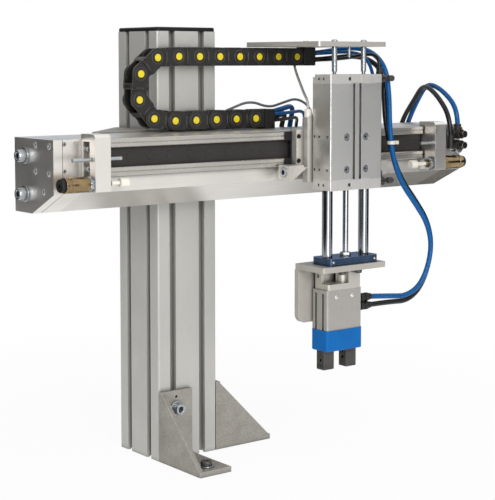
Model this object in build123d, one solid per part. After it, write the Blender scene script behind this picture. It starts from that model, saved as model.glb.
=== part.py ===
from build123d import *
import math
import os

# Two-axis pick and place machine: an extruded column on angle feet carries a horizontal linear axis.
# Its carriage holds a vertical guided cylinder, and a parallel gripper hangs from the cylinder's yoke.
# Lengths are millimetres. X runs along the beam, -Y is the front, +Z is up.
# The origin is the centre of the column's foot.

# General clearances
running_gap = 0.3
sliding_fit = 0.04
screw_play = 0.2

# Column: slotted extrusion
profile_side = 80.0
profile_corner = 2.0
slot_from_edge = 20.0
slot_opening = 8.2
slot_lip = 4.5
slot_chamber = 16.0
slot_taper = 2.5
slot_depth = 12.5
core_bore = 6.8
core_void = 26.0
core_corner = 3.0
column_height = 484.0
cap_thickness = 4.5
cap_corner = 4.0
cap_chamfer = 1.2
cap_boss_length = 10.0

# Angle brackets for the feet and for the beam
bracket_leg = 80.0
bracket_width = 42.0
bracket_plate = 6.0
bracket_gusset = 5.0
bracket_rim = 4.0
bracket_hole = 8.4
bracket_wall_hole = 60.0
bracket_foot_hole = 63.5
bracket_pin = 3.4
bracket_pin_above = 13.0
bracket_pin_below = 18.0
bracket_corner = 4.0
beam_bracket_above = 2.0

# Socket head screws
screw_diameter = 8.0
screw_head = 13.0
screw_head_height = 8.0
floor_screw_head_height = 5.0
washer_diameter = 17.0
washer_thickness = 1.6
socket_width = 6.0
nut_length = 18.0
nut_width = 14.0
nut_thickness = 4.0

# Beam of the linear axis
beam_left_reach = 184.9
beam_length = 508.8
beam_depth = 79.6
beam_height = 76.5
beam_top = 373.0
beam_flat_depth = 35.5
beam_slope_rise = 21.9
beam_groove_drop = 39.0
beam_bore = 25.0
beam_bore_forward = 48.0
beam_bore_drop = 28.0
beam_duct_width = 12.0
beam_duct_height = 52.0
beam_duct_forward = 24.0
beam_duct_drop = 39.0
back_slot_spacing = 35.0
end_block_length = 21.7
end_plate_length = 10.0
end_seam = 0.8
end_spigot_length = 6.0
end_small_screw = 7.0
end_small_depth = 3.0
end_small_spots = ((43.0, 6.5), (71.0, 6.5), (43.0, 33.0), (70.0, 34.0), (59.0, 53.0))
end_big_forward = 22.0
end_big_drops = (18.0, 57.0)
seam_screw = 4.0
seam_screw_inset = 2.6
seam_screw_depth = 4.0
seam_screw_drops = (4.5, 31.5)

# Rails and the cover band between them
rail_height = 9.3
rail_depth = 8.0
rail_line = 1.2
rail_line_depth = 0.6
rail_chamfer = 0.8
rail_span = 38.7
rail_length = 451.3
cover_thickness = 2.4
plug_pitch = 25.0
plug_diameter = 9.0
plug_proud = 0.4
plug_depth = 1.2

# Stop brackets, shock absorbers and end sensors
stop_width = 18.0
stop_depth = 27.0
stop_below_axis = 7.7
stop_above_beam = 5.5
stop_front_wall = 10.6
stop_inner_wall = 6.0
stop_web = 4.0
stop_floor = 5.8
stop_roof = 7.5
stop_screw_inset = 6.0
stop_screw_margin = 8.0
stop_screw = 4.0
stop_screw_head = 7.0
stop_screw_head_height = 4.0
stop_screw_grip = 7.5
stop_chamfer = 3.0
stop_gap = 452.9
axis_out = 19.4
axis_drop = 43.8
absorber_thread = 9.0
absorber_barrel = 16.0
absorber_barrel_length = 32.0
absorber_knob = 14.0
absorber_knob_length = 4.5
absorber_bore = 4.6
absorber_bore_depth = 52.0
absorber_nut = 14.0
absorber_nut_thickness = 5.0
absorber_ring = 7.0
absorber_ring_length = 4.0
buffer_rod = 4.5
buffer_diameter = 10.0
buffer_length = 10.0
buffer_reaches = (24.4, 34.2)
buffer_tail = 30.0
sensor_diameter = 3.6
sensor_drop = 19.4
sensor_lengths = (57.0, 41.0)
sensor_inward = 17.0
sensor_collar = 5.2
sensor_collar_length = 3.0

# Air connections on the right end block
control_from_end = 13.1
control_drops = (10.4, 23.9)
control_thread = 9.0
control_thread_length = 3.0
control_hex = 12.0
control_hex_length = 4.0
control_body = 12.0
control_body_length = 14.5
control_port_back = 7.0
control_port = 9.2
control_port_lift = 12.0
control_side_arm = 12.0
control_arm = 8.0
control_knob = 8.4
control_knob_length = 5.0
control_dome = 3.0
control_stem = 4.0
control_stem_length = 8.0
control_slot = 1.2
end_plug = 11.0
end_plug_length = 5.0
end_plug_drops = (7.0, 29.5)

# Carriage
carriage_left = 78.6
carriage_length = 106.2
carriage_end = 6.0
carriage_drop = 38.5
carriage_height = 41.0
carriage_out = 18.8
carriage_hook = 6.0
carriage_hook_wall = 2.2
tongue_gap = 0.5
lug_reach = 19.0
lug_front = 12.6
lug_below_axis = 8.2
lug_above_axis = 7.8
lug_flat = 4.0
wiper_length = 8.0
wiper_thickness = 2.2
wiper_proud = 0.3
wiper_seal = 1.2
lug_screw = 8.0
lug_screw_head = 11.5
lug_screw_proud = 1.0
lug_screw_length = 14.0
lug_screw_socket = 5.0
carriage_plug = 5.0
carriage_plug_proud = 1.4
carriage_plug_depth = 4.0
carriage_plug_insets = (7.5, 6.5)
adapter_width = 87.4
adapter_thickness = 8.8
adapter_drop = 56.0
adapter_height = 72.0
adapter_chamfer = 1.5

# Guided cylinder
cylinder_width = 76.2
cylinder_depth = 30.8
cylinder_drop = 64.0
lower_cap_height = 11.5
body_height = 106.0
upper_cap_height = 9.7
cap_step = 3.0
cap_step_depth = 4.5
cap_recess = 0.5
cap_recess_from = 15.0
cap_recess_width = 15.0
cylinder_corner = 1.5
rod_setback = 17.5
guide_spacing = 54.0
guide_diameter = 12.0
guide_rise = 30.5
bush_wall = 2.0
bush_length = 22.0
guide_bore_play = 0.5
guide_bore_cap_depth = 6.0
piston_rod_diameter = 6.5
lift_bore = 16.0
lift_piston_length = 12.0
lift_piston_rise = 10.5
groove_width = 3.6
groove_depth = 4.0
groove_lip = 0.8
groove_offsets = (-3.6, 5.5)
cylinder_screw = 4.2
cylinder_screw_head = 8.0
cylinder_screw_head_height = 4.2
cylinder_counterbore_depth = 5.2
cylinder_screw_offset = 14.0
cylinder_screw_rises = (11.3, 47.0)
cap_screw_offset = 33.0
cap_screw_head = 4.6
cap_screw_height = 2.5
port_bore = 4.2
port_depth = 5.0
port_offset = -10.0
side_bore = 3.2
side_depth = 2.0
side_body_rises = (11.1, 47.3)
side_body_spots = (4.0, 12.0, 25.3)
side_cap_spots = (11.3, 19.2)

# Plate above the cylinder
plate_width = 100.0
plate_depth = 130.0
plate_forward = 2.0
plate_above_cylinder = 30.6
plate_thickness = 5.5
plate_corner = 3.0
post_spacing = 43.0
post_from_front = 7.0
post_diameter = 6.0
post_neck = 4.2
post_neck_height = 3.0
post_hex_height = 4.0
post_screw_head = 7.0
post_screw_height = 2.2
post_screw = 3.4
hanging_screw_length = 12.0

# Air fittings on the cylinder
lift_fitting_thread = 5.0
lift_fitting_thread_length = 3.0
lift_fitting_body = 10.0
lift_fitting_body_length = 19.0
lift_fitting_port = 8.0
lift_fitting_port_out = 12.0
lift_fitting_port_lift = 12.0
lift_fitting_neck = 4.0
lift_fitting_neck_length = 6.0
lift_fitting_knob = 7.0
lift_fitting_knob_length = 8.0

# Yoke and gripper bracket
yoke_width = 73.0
yoke_depth = 31.0
yoke_thickness = 8.4
yoke_corner = 5.0
yoke_edge_hole = 3.6
yoke_edge_hole_depth = 6.0
yoke_edge_hole_inset = 6.0
rod_nut = 11.0
rod_nut_thickness = 4.0
gripper_plate_leftward = 48.7
gripper_plate_width = 92.7
ram_reach = 90.0
gripper_plate_thickness = 6.4
gripper_plate_forward = 19.5
gripper_plate_depth = 49.5
gripper_leg_width = 72.0
gripper_leg_height = 60.6
gripper_leg_corner = 10.0
gripper_inner_corner = 2.5
plate_screw_offset = 12.0
plate_screw_front = 11.0
plate_screw = 5.0
plate_screw_head = 8.5
plate_screw_head_height = 5.0
plate_screw_socket = 4.0

# Block between the plate and the gripper
mount_width = 48.0
mount_depth = 24.0
mount_floor = 6.6
mount_wall = 4.0
mount_right_wall = 18.0
mount_post = 14.0
mount_pin_hole = 4.0

# Gripper and jaws
gripper_leftward = 29.0
gripper_width = 51.1
gripper_depth = 26.6
gripper_hang = 22.8
gripper_height = 45.4
gripper_corner = 2.0
gripper_groove = 3.4
gripper_groove_depth = 2.2
gripper_hole = 4.2
gripper_hole_depth = 8.0
gripper_hole_offset = 11.8
gripper_hole_drop = 8.2
gripper_screw_sunk = 0.5
gripper_screw_socket = 2.0
cover_height = 23.6
cover_proud = 0.8
cover_corner = 2.8
cover_floor = 12.0
jaw_width = 14.8
jaw_depth = 12.4
jaw_gap = 18.2
jaw_length = 21.9
jaw_root = 10.0
jaw_stroke = 8.0
jaw_hole = 4.3
jaw_pin_hole = 2.1
jaw_hole_rise = 10.7
jaw_pin_pitch = 6.2
jaw_chamfer = 0.6
gripper_fitting_drops = (14.6, 24.4)
gripper_fitting_forward = 1.7
gripper_fitting_thread = 5.0
gripper_fitting_thread_length = 2.5
gripper_fitting_hex = 8.4
gripper_fitting_hex_length = 6.0
gripper_fitting_body = 9.0
gripper_fitting_body_length = 15.0
gripper_fitting_ring = 7.4
gripper_fitting_ring_length = 3.0

# Energy chain
chain_pitch = 28.0
chain_radius = 35.25
chain_height = 20.6
chain_width = 18.5
chain_wall = 1.5
chain_layer_gap = 0.3
chain_eye_gap = 0.4
chain_bar = 6.6
chain_bar_thickness = 2.0
chain_forward = 12.75
chain_bend_left = 44.0
chain_above_beam = 12.3
chain_first_angle = 105.5
chain_bend_pins = 4
chain_upper_pins = 7
chain_lower_pins = 5
pin_diameter = 4.8
pin_play = 0.1
pin_cap = 8.2
pin_cap_thickness = 0.8
chain_end_reach = 28.0
chain_end_foot = 2.0
chain_end_foot_length = 14.0

# Air distributor behind the beam
manifold_left = 140.0
manifold_length = 62.0
manifold_depth = 24.0
manifold_drop = 67.0
manifold_height = 32.0
manifold_port = 9.0
manifold_port_height = 6.0
manifold_socket_depth = 3.0
manifold_top_spots = (4.5, 16.5, 28.5, 41.0, 54.0)
manifold_side_drops = (9.0, 23.0)
manifold_screw_spots = (10.0, 52.0)

# Tubes and cables
tube_diameter = 6.0
lift_tube_diameter = 4.0
cable_diameter = 3.0
tie_width = 4.0
tie_thickness = 1.2
tie_drop = 16.0
tie_lock = 4.0
tie_gap = 0.5
chain_thick_offset = 2.6
chain_thin_offset = -3.2
chain_row_offset = 3.7
chain_mouth_depth = 18.0
plug_body = (7.0, 6.0, 9.0)

# Values worked out from the sizes above
half_side = profile_side / 2
slot_centre = half_side - slot_from_edge
beam_back = -half_side
beam_left = -beam_left_reach
beam_bottom = beam_top - beam_height
beam_bracket_top = beam_top + beam_bracket_above
beam_front_groove = beam_top - beam_groove_drop
beam_bore_y = beam_back - beam_bore_forward
beam_bore_z = beam_top - beam_bore_drop
beam_duct_y = beam_back - beam_duct_forward
beam_duct_z = beam_top - beam_duct_drop
beam_front = beam_back - beam_depth
beam_right = beam_left + beam_length
beam_slope_start = beam_back - beam_flat_depth
upper_rail_bottom = beam_top - rail_height
lower_rail_bottom = beam_top - rail_span
rail_left = beam_left + stop_width
rail_right = rail_left + rail_length
rail_front = beam_front - rail_depth
cover_front = beam_front - cover_thickness
cover_bottom = lower_rail_bottom + rail_height
cover_z = (cover_bottom + upper_rail_bottom) / 2
absorber_height = beam_top - axis_drop
sensor_height = beam_top - sensor_drop
stop_bottom = absorber_height - stop_below_axis
stop_top = beam_top + stop_above_beam
stop_screw_heights = (absorber_height + stop_floor + stop_screw_margin,
                      stop_top - stop_roof - stop_screw_margin)
left_stop = beam_left
right_stop = left_stop + stop_width + stop_gap
axis_y = beam_front - axis_out
upper_back_slot = beam_bracket_top - slot_from_edge
lower_back_slot = upper_back_slot - back_slot_spacing
end_small_places = [(beam_back - forward, beam_top - drop) for forward, drop in end_small_spots]
end_big_y = beam_back - end_big_forward
end_big_heights = [beam_top - drop for drop in end_big_drops]
control_heights = [beam_top - drop for drop in control_drops]
end_plug_heights = [beam_top - drop for drop in end_plug_drops]
control_x = beam_right + control_from_end
end_plug_x = beam_right + end_block_length + end_plate_length / 2
carriage_right = carriage_left + carriage_length
carriage_centre = carriage_left + carriage_length / 2
carriage_back = rail_front - running_gap
carriage_front = beam_front - carriage_out
carriage_bottom = beam_top - carriage_drop
carriage_top = carriage_bottom + carriage_height
carriage_plug_heights = (carriage_top - carriage_plug_insets[0],
                         carriage_bottom + carriage_plug_insets[1])
lug_bottom = absorber_height - lug_below_axis
lug_top = absorber_height + lug_above_axis
adapter_bottom = beam_top - adapter_drop
adapter_top = adapter_bottom + adapter_height
adapter_front = carriage_front - adapter_thickness
cylinder_front = adapter_front - cylinder_depth
cylinder_left = carriage_centre - cylinder_width / 2
cylinder_right = carriage_centre + cylinder_width / 2
cylinder_bottom = beam_top - cylinder_drop
body_bottom = cylinder_bottom + lower_cap_height
body_top = body_bottom + body_height
cylinder_top = body_top + upper_cap_height
guide_top = body_bottom + guide_rise
lift_piston_bottom = body_bottom + lift_piston_rise
cylinder_screw_heights = [body_bottom + rise for rise in cylinder_screw_rises]
side_body_heights = [body_bottom + rise for rise in side_body_rises]
rod_y = cylinder_front + rod_setback
plate_back = beam_back - plate_forward
plate_front = plate_back - plate_depth
plate_left = carriage_centre - plate_width / 2
plate_right = carriage_centre + plate_width / 2
plate_bottom = cylinder_top + plate_above_cylinder
plate_top = plate_bottom + plate_thickness
post_y = plate_front + post_from_front
gripper_plate_left = carriage_centre - gripper_plate_leftward
gripper_plate_front = rod_y - gripper_plate_forward
gripper_plate_back = gripper_plate_front + gripper_plate_depth
gripper_plate_bottom = cylinder_bottom - ram_reach
gripper_plate_top = gripper_plate_bottom + gripper_plate_thickness
gripper_leg_bottom = gripper_plate_bottom - gripper_leg_height
yoke_top = gripper_plate_top + yoke_thickness
yoke_front = rod_y - yoke_depth / 2
gripper_back = gripper_plate_back - gripper_plate_thickness
gripper_front = gripper_back - gripper_depth
gripper_left = carriage_centre - gripper_leftward
gripper_right = gripper_left + gripper_width
gripper_x = gripper_left + gripper_width / 2
gripper_y = (gripper_front + gripper_back) / 2
gripper_top = gripper_plate_bottom - gripper_hang
gripper_bottom = gripper_top - gripper_height
cover_low = gripper_bottom - cover_height
jaw_bottom = cover_low - jaw_length
jaw_hole_height = jaw_bottom + jaw_hole_rise
gripper_fitting_heights = [gripper_top - drop for drop in gripper_fitting_drops]
chain_y = beam_back - chain_forward
chain_bend_x = -chain_bend_left
chain_lower_z = beam_top + chain_above_beam
chain_upper_z = chain_lower_z + 2 * chain_radius
chain_bend_z = chain_lower_z + chain_radius
chain_eye = chain_height / 2
chain_body_start = chain_eye + chain_eye_gap
manifold_right = manifold_left + manifold_length
manifold_bottom = beam_top - manifold_drop
manifold_top = manifold_bottom + manifold_height
manifold_side_heights = [manifold_top - drop for drop in manifold_side_drops]
manifold_y = beam_back + manifold_depth / 2
tie_height = beam_top - tie_drop


def block(x0, x1, y0, y1, z0, z1):
    """Box between two corners."""
    low = (min(x0, x1), min(y0, y1), min(z0, z1))
    size = (abs(x1 - x0), abs(y1 - y0), abs(z1 - z0))
    return Pos(*low) * Box(*size, align=(Align.MIN, Align.MIN, Align.MIN))


def disc(start, axis, diameter, length):
    """Round bar that starts at a point and runs along an axis."""
    return extrude(Plane(origin=start, z_dir=axis) * Circle(diameter / 2), amount=length)


def hexagon(start, axis, flats, length):
    """Hexagonal bar that starts at a point and runs along an axis."""
    shape = RegularPolygon(flats / math.sqrt(3), 6)
    return extrude(Plane(origin=start, z_dir=axis) * shape, amount=length)


def turned(start, axis, steps):
    """Turned piece: one round bar after another from (diameter, length) pairs."""
    body = None
    for diameter, length in steps:
        bar = disc(start, axis, diameter, length)
        body = bar if body is None else body + bar
        start = along(start, axis, length)
    return body


def along(point, axis, distance):
    """Point moved along an axis."""
    return tuple(p + a * distance for p, a in zip(point, axis))


def prism_x(points, x0, x1):
    """Prism along X from points given as (y, z)."""
    face = make_face(Polyline(*[(x0, y, z) for y, z in points], close=True))
    return extrude(face, amount=x1 - x0, dir=(1, 0, 0))


def prism_y(points, y0, y1):
    """Prism along Y from points given as (x, z)."""
    face = make_face(Polyline(*[(x, y0, z) for x, z in points], close=True))
    return extrude(face, amount=y1 - y0, dir=(0, 1, 0))


def rounded_block(x0, x1, y0, y1, z0, z1, radius):
    """Block with its four upright edges rounded."""
    shape = RectangleRounded(abs(x1 - x0), abs(y1 - y0), radius)
    return Pos((x0 + x1) / 2, (y0 + y1) / 2, z0) * extrude(shape, amount=z1 - z0)


def socket_screw(seat, axis, shank_length, diameter, head, head_height, socket):
    """Socket head screw: the head stands along the axis from its seat, the shank goes the other way."""
    back = tuple(-a for a in axis)
    body = disc(seat, axis, head, head_height) + disc(seat, back, diameter, shank_length)
    return body - hexagon(along(seat, axis, head_height), back, socket, head_height * 0.55)


def washer_screw(seat, axis, shank_length, head_height):
    """Large socket head screw on its washer."""
    ring = disc(seat, axis, washer_diameter, washer_thickness)
    ring -= disc(seat, axis, screw_diameter + screw_play, washer_thickness)
    screw = socket_screw(along(seat, axis, washer_thickness), axis, shank_length + washer_thickness,
                         screw_diameter, screw_head, head_height, socket_width)
    return [screw, ring]


def slot_points():
    """Outline of one T-slot that opens towards +X at x = 0: mouth, lips, chamber and tapered floor."""
    mouth = slot_opening / 2
    room = slot_chamber / 2
    half = [(1, mouth), (-slot_lip, mouth), (-slot_lip, room), (-slot_lip - slot_taper, room),
            (-slot_depth, mouth)]
    return half + [(x, -y) for x, y in reversed(half)]


def save(node, pieces):
    """Write one node, a single solid or a group of them."""
    if isinstance(pieces, (list, tuple)):
        solids = [solid for piece in pieces for solid in piece.solids()]
    else:
        solids = pieces.solids()
    shape = solids[0] if len(solids) == 1 else Compound(children=solids)
    export_step(shape, f"parts/{node}.step")


def column():
    """Square extrusion with two T-slots in each face, four core bores and a hollow middle."""
    section = RectangleRounded(profile_side, profile_side, profile_corner)
    slot = make_face(Polyline(*slot_points(), close=True))
    for turn in range(4):
        for offset in (-slot_centre, slot_centre):
            section -= Rot(0, 0, 90 * turn) * Pos(half_side, offset, 0) * slot
    for x in (-slot_centre, slot_centre):
        for y in (-slot_centre, slot_centre):
            section -= Pos(x, y, 0) * Circle(core_bore / 2)
    section -= Rot(0, 0, 45) * RectangleRounded(core_void, core_void, core_corner)
    return extrude(section, amount=column_height)


def column_cap():
    """Moulded cap with a boss in the hollow middle."""
    shape = RectangleRounded(profile_side, profile_side, cap_corner)
    cap = Pos(0, 0, column_height) * extrude(shape, amount=cap_thickness)
    cap = chamfer(cap.edges().group_by(Axis.Z)[-1], cap_chamfer)
    side = core_void - 2 * screw_play
    boss = Rot(0, 0, 45) * RectangleRounded(side, side, core_corner)
    return cap + Pos(0, 0, column_height - cap_boss_length) * extrude(boss, amount=cap_boss_length)


def angle_bracket():
    """Cast angle: one leg against x = 0, the other against z = 0, and a gusset along y = 0."""
    wall_leg = block(0, bracket_plate, 0, bracket_width, 0, bracket_leg)
    foot_leg = block(0, bracket_leg, 0, bracket_width, 0, bracket_plate)
    gusset = prism_y([(0, 0), (bracket_leg, 0), (bracket_leg, bracket_rim), (bracket_rim, bracket_leg),
                      (0, bracket_leg)], 0, bracket_gusset)
    body = wall_leg + foot_leg + gusset
    inner = body.edges().filter_by(Axis.Y).sort_by_distance((bracket_plate, bracket_width, bracket_plate))[0]
    body = fillet(inner, bracket_corner)
    middle = slot_from_edge
    body -= disc((0, middle, bracket_wall_hole), (1, 0, 0), bracket_hole, bracket_plate)
    body -= disc((bracket_foot_hole, middle, 0), (0, 0, 1), bracket_hole, bracket_plate)
    for height in (bracket_wall_hole + bracket_pin_above, bracket_wall_hole - bracket_pin_below):
        body -= disc((0, middle, height), (1, 0, 0), bracket_pin, bracket_plate)
    return body


def front_foot_bracket():
    """Angle on the column's front, its gusset flush with the column's left side."""
    return Pos(-half_side, -half_side, 0) * Rot(0, 0, -90) * angle_bracket()


def right_foot_bracket():
    """Angle on the column's right side, its gusset flush with the column's front."""
    return Pos(half_side, -half_side, 0) * angle_bracket()


def beam_brackets():
    """Two angles on their sides, in the corners between the column's sides and the beam's back."""
    right = Pos(half_side, beam_back, beam_bracket_top) * Rot(-90, 0, 0) * angle_bracket()
    return [right, mirror(right, about=Plane.YZ)]


def slot_nut(seat, axis):
    """Slot nut behind the lips of a T-slot, with its thread bore."""
    inside = tuple(-a for a in axis)
    start = along(seat, inside, slot_lip + screw_play)
    plane = Plane(origin=start, x_dir=(0, 0, 1) if abs(axis[2]) < 0.5 else (1, 0, 0), z_dir=inside)
    nut = extrude(plane * Rectangle(nut_length, nut_width), amount=slot_taper - screw_play)
    nut += extrude(plane * Rectangle(nut_length, slot_opening), amount=nut_thickness)
    return nut - disc(start, inside, screw_diameter + screw_play, nut_thickness)


def bracket_screws():
    """Screws, washers and slot nuts of the four angles, and the floor screw of the front foot."""
    reach = bracket_plate + slot_lip + nut_thickness
    walls = [((-half_side + slot_from_edge, -half_side, bracket_wall_hole), (0, -1, 0)),
             ((half_side, -half_side + slot_from_edge, bracket_wall_hole), (1, 0, 0))]
    for side in (-1, 1):
        walls.append(((side * half_side, beam_back + bracket_wall_hole, upper_back_slot), (side, 0, 0)))
        walls.append(((side * (half_side + bracket_foot_hole), beam_back, upper_back_slot), (0, 1, 0)))
    pieces = []
    for seat, axis in walls:
        pieces += washer_screw(along(seat, axis, bracket_plate), axis, reach, screw_head_height)
        nut = slot_nut(seat, axis)
        if axis[1] > 0:
            nut = Pos(*seat) * Rot(0, 90, 0) * Pos(*[-s for s in seat]) * nut
        pieces.append(nut)
    floor = (-half_side + slot_from_edge, -half_side - bracket_foot_hole, bracket_plate)
    return pieces + washer_screw(floor, (0, 0, 1), bracket_plate, floor_screw_head_height)


def beam_outline(inset=0.0):
    """Outline of the beam as (y, z) points: upright front, sloped lower front and flat bottom."""
    back = beam_back - inset
    front = beam_front + inset
    low = beam_bottom + inset
    high = beam_top - inset
    return [(back, low), (beam_slope_start, low), (front, beam_bottom + beam_slope_rise), (front, high),
            (back, high)]


def beam():
    """Extruded beam with the piston bore, an air duct and two T-slots along its back."""
    body = prism_x(beam_outline(), beam_left, beam_right)
    body -= disc((beam_left, beam_bore_y, beam_bore_z), (1, 0, 0), beam_bore, beam_length)
    duct = RectangleRounded(beam_duct_width, beam_duct_height, 3)
    plane = Plane(origin=(beam_left, beam_duct_y, beam_duct_z), x_dir=(0, 1, 0), z_dir=(1, 0, 0))
    body -= extrude(plane * duct, amount=beam_length)
    for height in (upper_back_slot, lower_back_slot):
        slot = prism_x([(beam_back + x, height + y) for x, y in slot_points()], beam_left, beam_right)
        body -= slot
    line = rail_line_depth
    body -= block(beam_left, beam_right, beam_front, beam_front + line, beam_front_groove - line,
                  beam_front_groove)
    for x, z in stop_screw_places():
        body -= disc((x, beam_front, z), (0, 1, 0), stop_screw + screw_play, stop_screw_grip + screw_play)
    return body


def stop_screw_places():
    """Places of the screws that hold the stop brackets, as (x, z) on the beam's front."""
    left = left_stop + stop_screw_inset
    right = right_stop + stop_width - stop_screw_inset
    return [(x, z) for x in (left, right) for z in stop_screw_heights]


def seam_screw_places(side):
    """Places of the set screws beside an end cap's seam, as (x, z) on its front."""
    inner = beam_left if side < 0 else beam_right
    x = inner + side * (end_block_length - seam_screw_inset)
    return [(x, beam_top - drop) for drop in seam_screw_drops]


def end_cap(side):
    """End block and end plate in one casting, with a seam between them and a spigot in the beam's bore."""
    inner = beam_left if side < 0 else beam_right
    seam = inner + side * end_block_length
    outer = seam + side * end_plate_length
    body = prism_x(beam_outline(), min(inner, outer), max(inner, outer))
    groove = prism_x(beam_outline(), seam, seam + end_seam) - prism_x(beam_outline(end_seam), seam,
                                                                     seam + end_seam)
    body -= groove
    spigot = beam_bore - 2 * screw_play
    body += disc((inner, beam_bore_y, beam_bore_z), (-side, 0, 0), spigot, end_spigot_length)
    inward = (-side, 0, 0)
    for y, z in end_small_places:
        body -= disc((outer, y, z), inward, end_small_screw + screw_play, end_small_depth)
        body -= disc((outer, y, z), inward, screw_diameter / 2 + screw_play, end_plate_length)
    for z in end_big_heights:
        body -= disc((outer, end_big_y, z), inward, screw_diameter + screw_play, end_plate_length)
    for x, z in seam_screw_places(side):
        body -= disc((x, beam_front, z), (0, 1, 0), seam_screw + screw_play, seam_screw_depth)
    if side > 0:
        for z in control_heights:
            body -= disc((control_x, beam_front, z), (0, 1, 0), control_thread + screw_play,
                         control_thread_length)
        for z in end_plug_heights:
            body -= disc((end_plug_x, beam_front, z), (0, 1, 0), end_plug / 2 + screw_play, end_plug_length)
    return body


def beam_screws():
    """Screws of both end caps and of the stop brackets, and the two plugs on the right end."""
    pieces = []
    for side in (-1, 1):
        outer = (beam_left if side < 0 else beam_right) + side * (end_block_length + end_plate_length)
        axis = (side, 0, 0)
        for y, z in end_small_places:
            seat = (outer - side * end_small_depth, y, z)
            pieces.append(socket_screw(seat, axis, end_plate_length - end_small_depth, screw_diameter / 2,
                                       end_small_screw, end_small_depth - 0.5, socket_width / 2))
        for x, z in seam_screw_places(side):
            face = (x, beam_front, z)
            screw = disc(face, (0, 1, 0), seam_screw, seam_screw_depth)
            pieces.append(screw - hexagon(face, (0, 1, 0), seam_screw / 2, seam_screw_depth / 2))
        for z in end_big_heights:
            pieces += washer_screw((outer, end_big_y, z), axis, end_plate_length, screw_head_height)
    for z in end_plug_heights:
        seat = (end_plug_x, beam_front, z)
        plug = hexagon(seat, (0, -1, 0), end_plug, end_plug_length)
        plug = chamfer(plug.edges().group_by(Axis.Y)[0], 0.8)
        pieces.append(plug + disc(seat, (0, 1, 0), end_plug / 2, end_plug_length - screw_play))
    for x, z in stop_screw_places():
        pieces.append(socket_screw((x, beam_front - stop_web, z), (0, -1, 0), stop_web + stop_screw_grip,
                                   stop_screw, stop_screw_head, stop_screw_head_height, 3))
    return pieces


def guide_rails():
    """Two guide rails on the beam's front, each with a fine line along its face."""
    rails = []
    for bottom in (lower_rail_bottom, upper_rail_bottom):
        rail = block(rail_left, rail_right, rail_front, beam_front, bottom, bottom + rail_height)
        rail = chamfer(rail.edges().filter_by(Axis.X).group_by(Axis.Y)[0], rail_chamfer)
        middle = bottom + rail_height / 2
        rail -= block(rail_left, rail_right, rail_front, rail_front + rail_line_depth,
                      middle - rail_line / 2, middle + rail_line / 2)
        rails.append(rail)
    return rails


def plug_row():
    """Places of the round plugs along the cover band."""
    count = int(rail_length // plug_pitch)
    first = (rail_left + rail_right - (count - 1) * plug_pitch) / 2
    return [first + index * plug_pitch for index in range(count)]


def rail_cover():
    """Dark band between the rails, and the round plugs that sit in it."""
    band = block(rail_left, rail_right, cover_front, beam_front, cover_bottom, upper_rail_bottom)
    plugs = []
    for x in plug_row():
        seat = (x, cover_front + plug_depth, cover_z)
        band -= disc(seat, (0, -1, 0), plug_diameter, plug_depth)
        plug = disc(seat, (0, -1, 0), plug_diameter - screw_play, plug_depth + plug_proud)
        plugs.append(chamfer(plug.edges().group_by(Axis.Y)[0], plug_proud / 2))
    return [band] + plugs


def stop_brackets():
    """Brackets that hold the absorbers, each with a pocket in its outer side for two screws."""
    pieces = []
    front = beam_front - stop_depth
    for side, left in ((-1, left_stop), (1, right_stop)):
        body = block(left, left + stop_width, front, beam_front, stop_bottom, stop_top)
        edge = body.edges().filter_by(Axis.X).sort_by_distance((left, front, stop_top))[0]
        body = chamfer(edge, stop_chamfer)
        outer = left if side < 0 else left + stop_width
        body -= block(outer, outer - side * (stop_width - stop_inner_wall), front + stop_front_wall,
                      beam_front - stop_web, absorber_height + stop_floor, stop_top - stop_roof)
        body -= disc((left, axis_y, absorber_height), (1, 0, 0), absorber_thread + 2 * screw_play, stop_width)
        body -= disc((left, axis_y, sensor_height), (1, 0, 0), sensor_diameter + 2 * screw_play, stop_width)
        for z in stop_screw_heights:
            body -= disc((outer - side * stop_screw_inset, beam_front - stop_web, z), (0, 1, 0),
                         stop_screw + screw_play, stop_web)
        pieces.append(body)
    return pieces


def absorber(side):
    """Shock absorber as one turned piece, with its lock nut outside the left bracket or inside the right."""
    outer = left_stop if side < 0 else right_stop + stop_width
    inner = outer - side * stop_width
    tail = outer + side * (absorber_barrel_length + absorber_knob_length)
    inward = (-side, 0, 0)
    nut_seat = outer + side * absorber_nut_thickness if side < 0 else inner
    barrel_end = min(outer, nut_seat) if side < 0 else outer
    tip = inner if side < 0 else inner - absorber_nut_thickness
    body = turned((tail, axis_y, absorber_height), inward,
                  [(absorber_knob, absorber_knob_length),
                   (absorber_barrel, abs(tail - barrel_end) - absorber_knob_length),
                   (absorber_thread, abs(barrel_end - tip)), (absorber_ring, absorber_ring_length)])
    mouth = (tip - side * absorber_ring_length, axis_y, absorber_height)
    body -= disc(mouth, (side, 0, 0), absorber_bore, absorber_bore_depth)
    nut = hexagon((nut_seat, axis_y, absorber_height), inward, absorber_nut, absorber_nut_thickness)
    nut -= disc((nut_seat, axis_y, absorber_height), inward, absorber_thread + 2 * screw_play,
                absorber_nut_thickness)
    return [body, nut]


def buffer(side):
    """Buffer head on the absorber's rod, drawn fully out."""
    inner = left_stop + stop_width if side < 0 else right_stop
    reach = buffer_reaches[0] if side < 0 else buffer_reaches[1]
    tip = (inner - side * reach, axis_y, absorber_height)
    outward = (side, 0, 0)
    head = disc(tip, outward, buffer_diameter, buffer_length)
    head = fillet(head.edges().filter_by(GeomType.CIRCLE), 1.2)
    rod_length = reach - buffer_length + buffer_tail
    return head + disc(along(tip, outward, buffer_length), outward, buffer_rod, rod_length)


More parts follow.
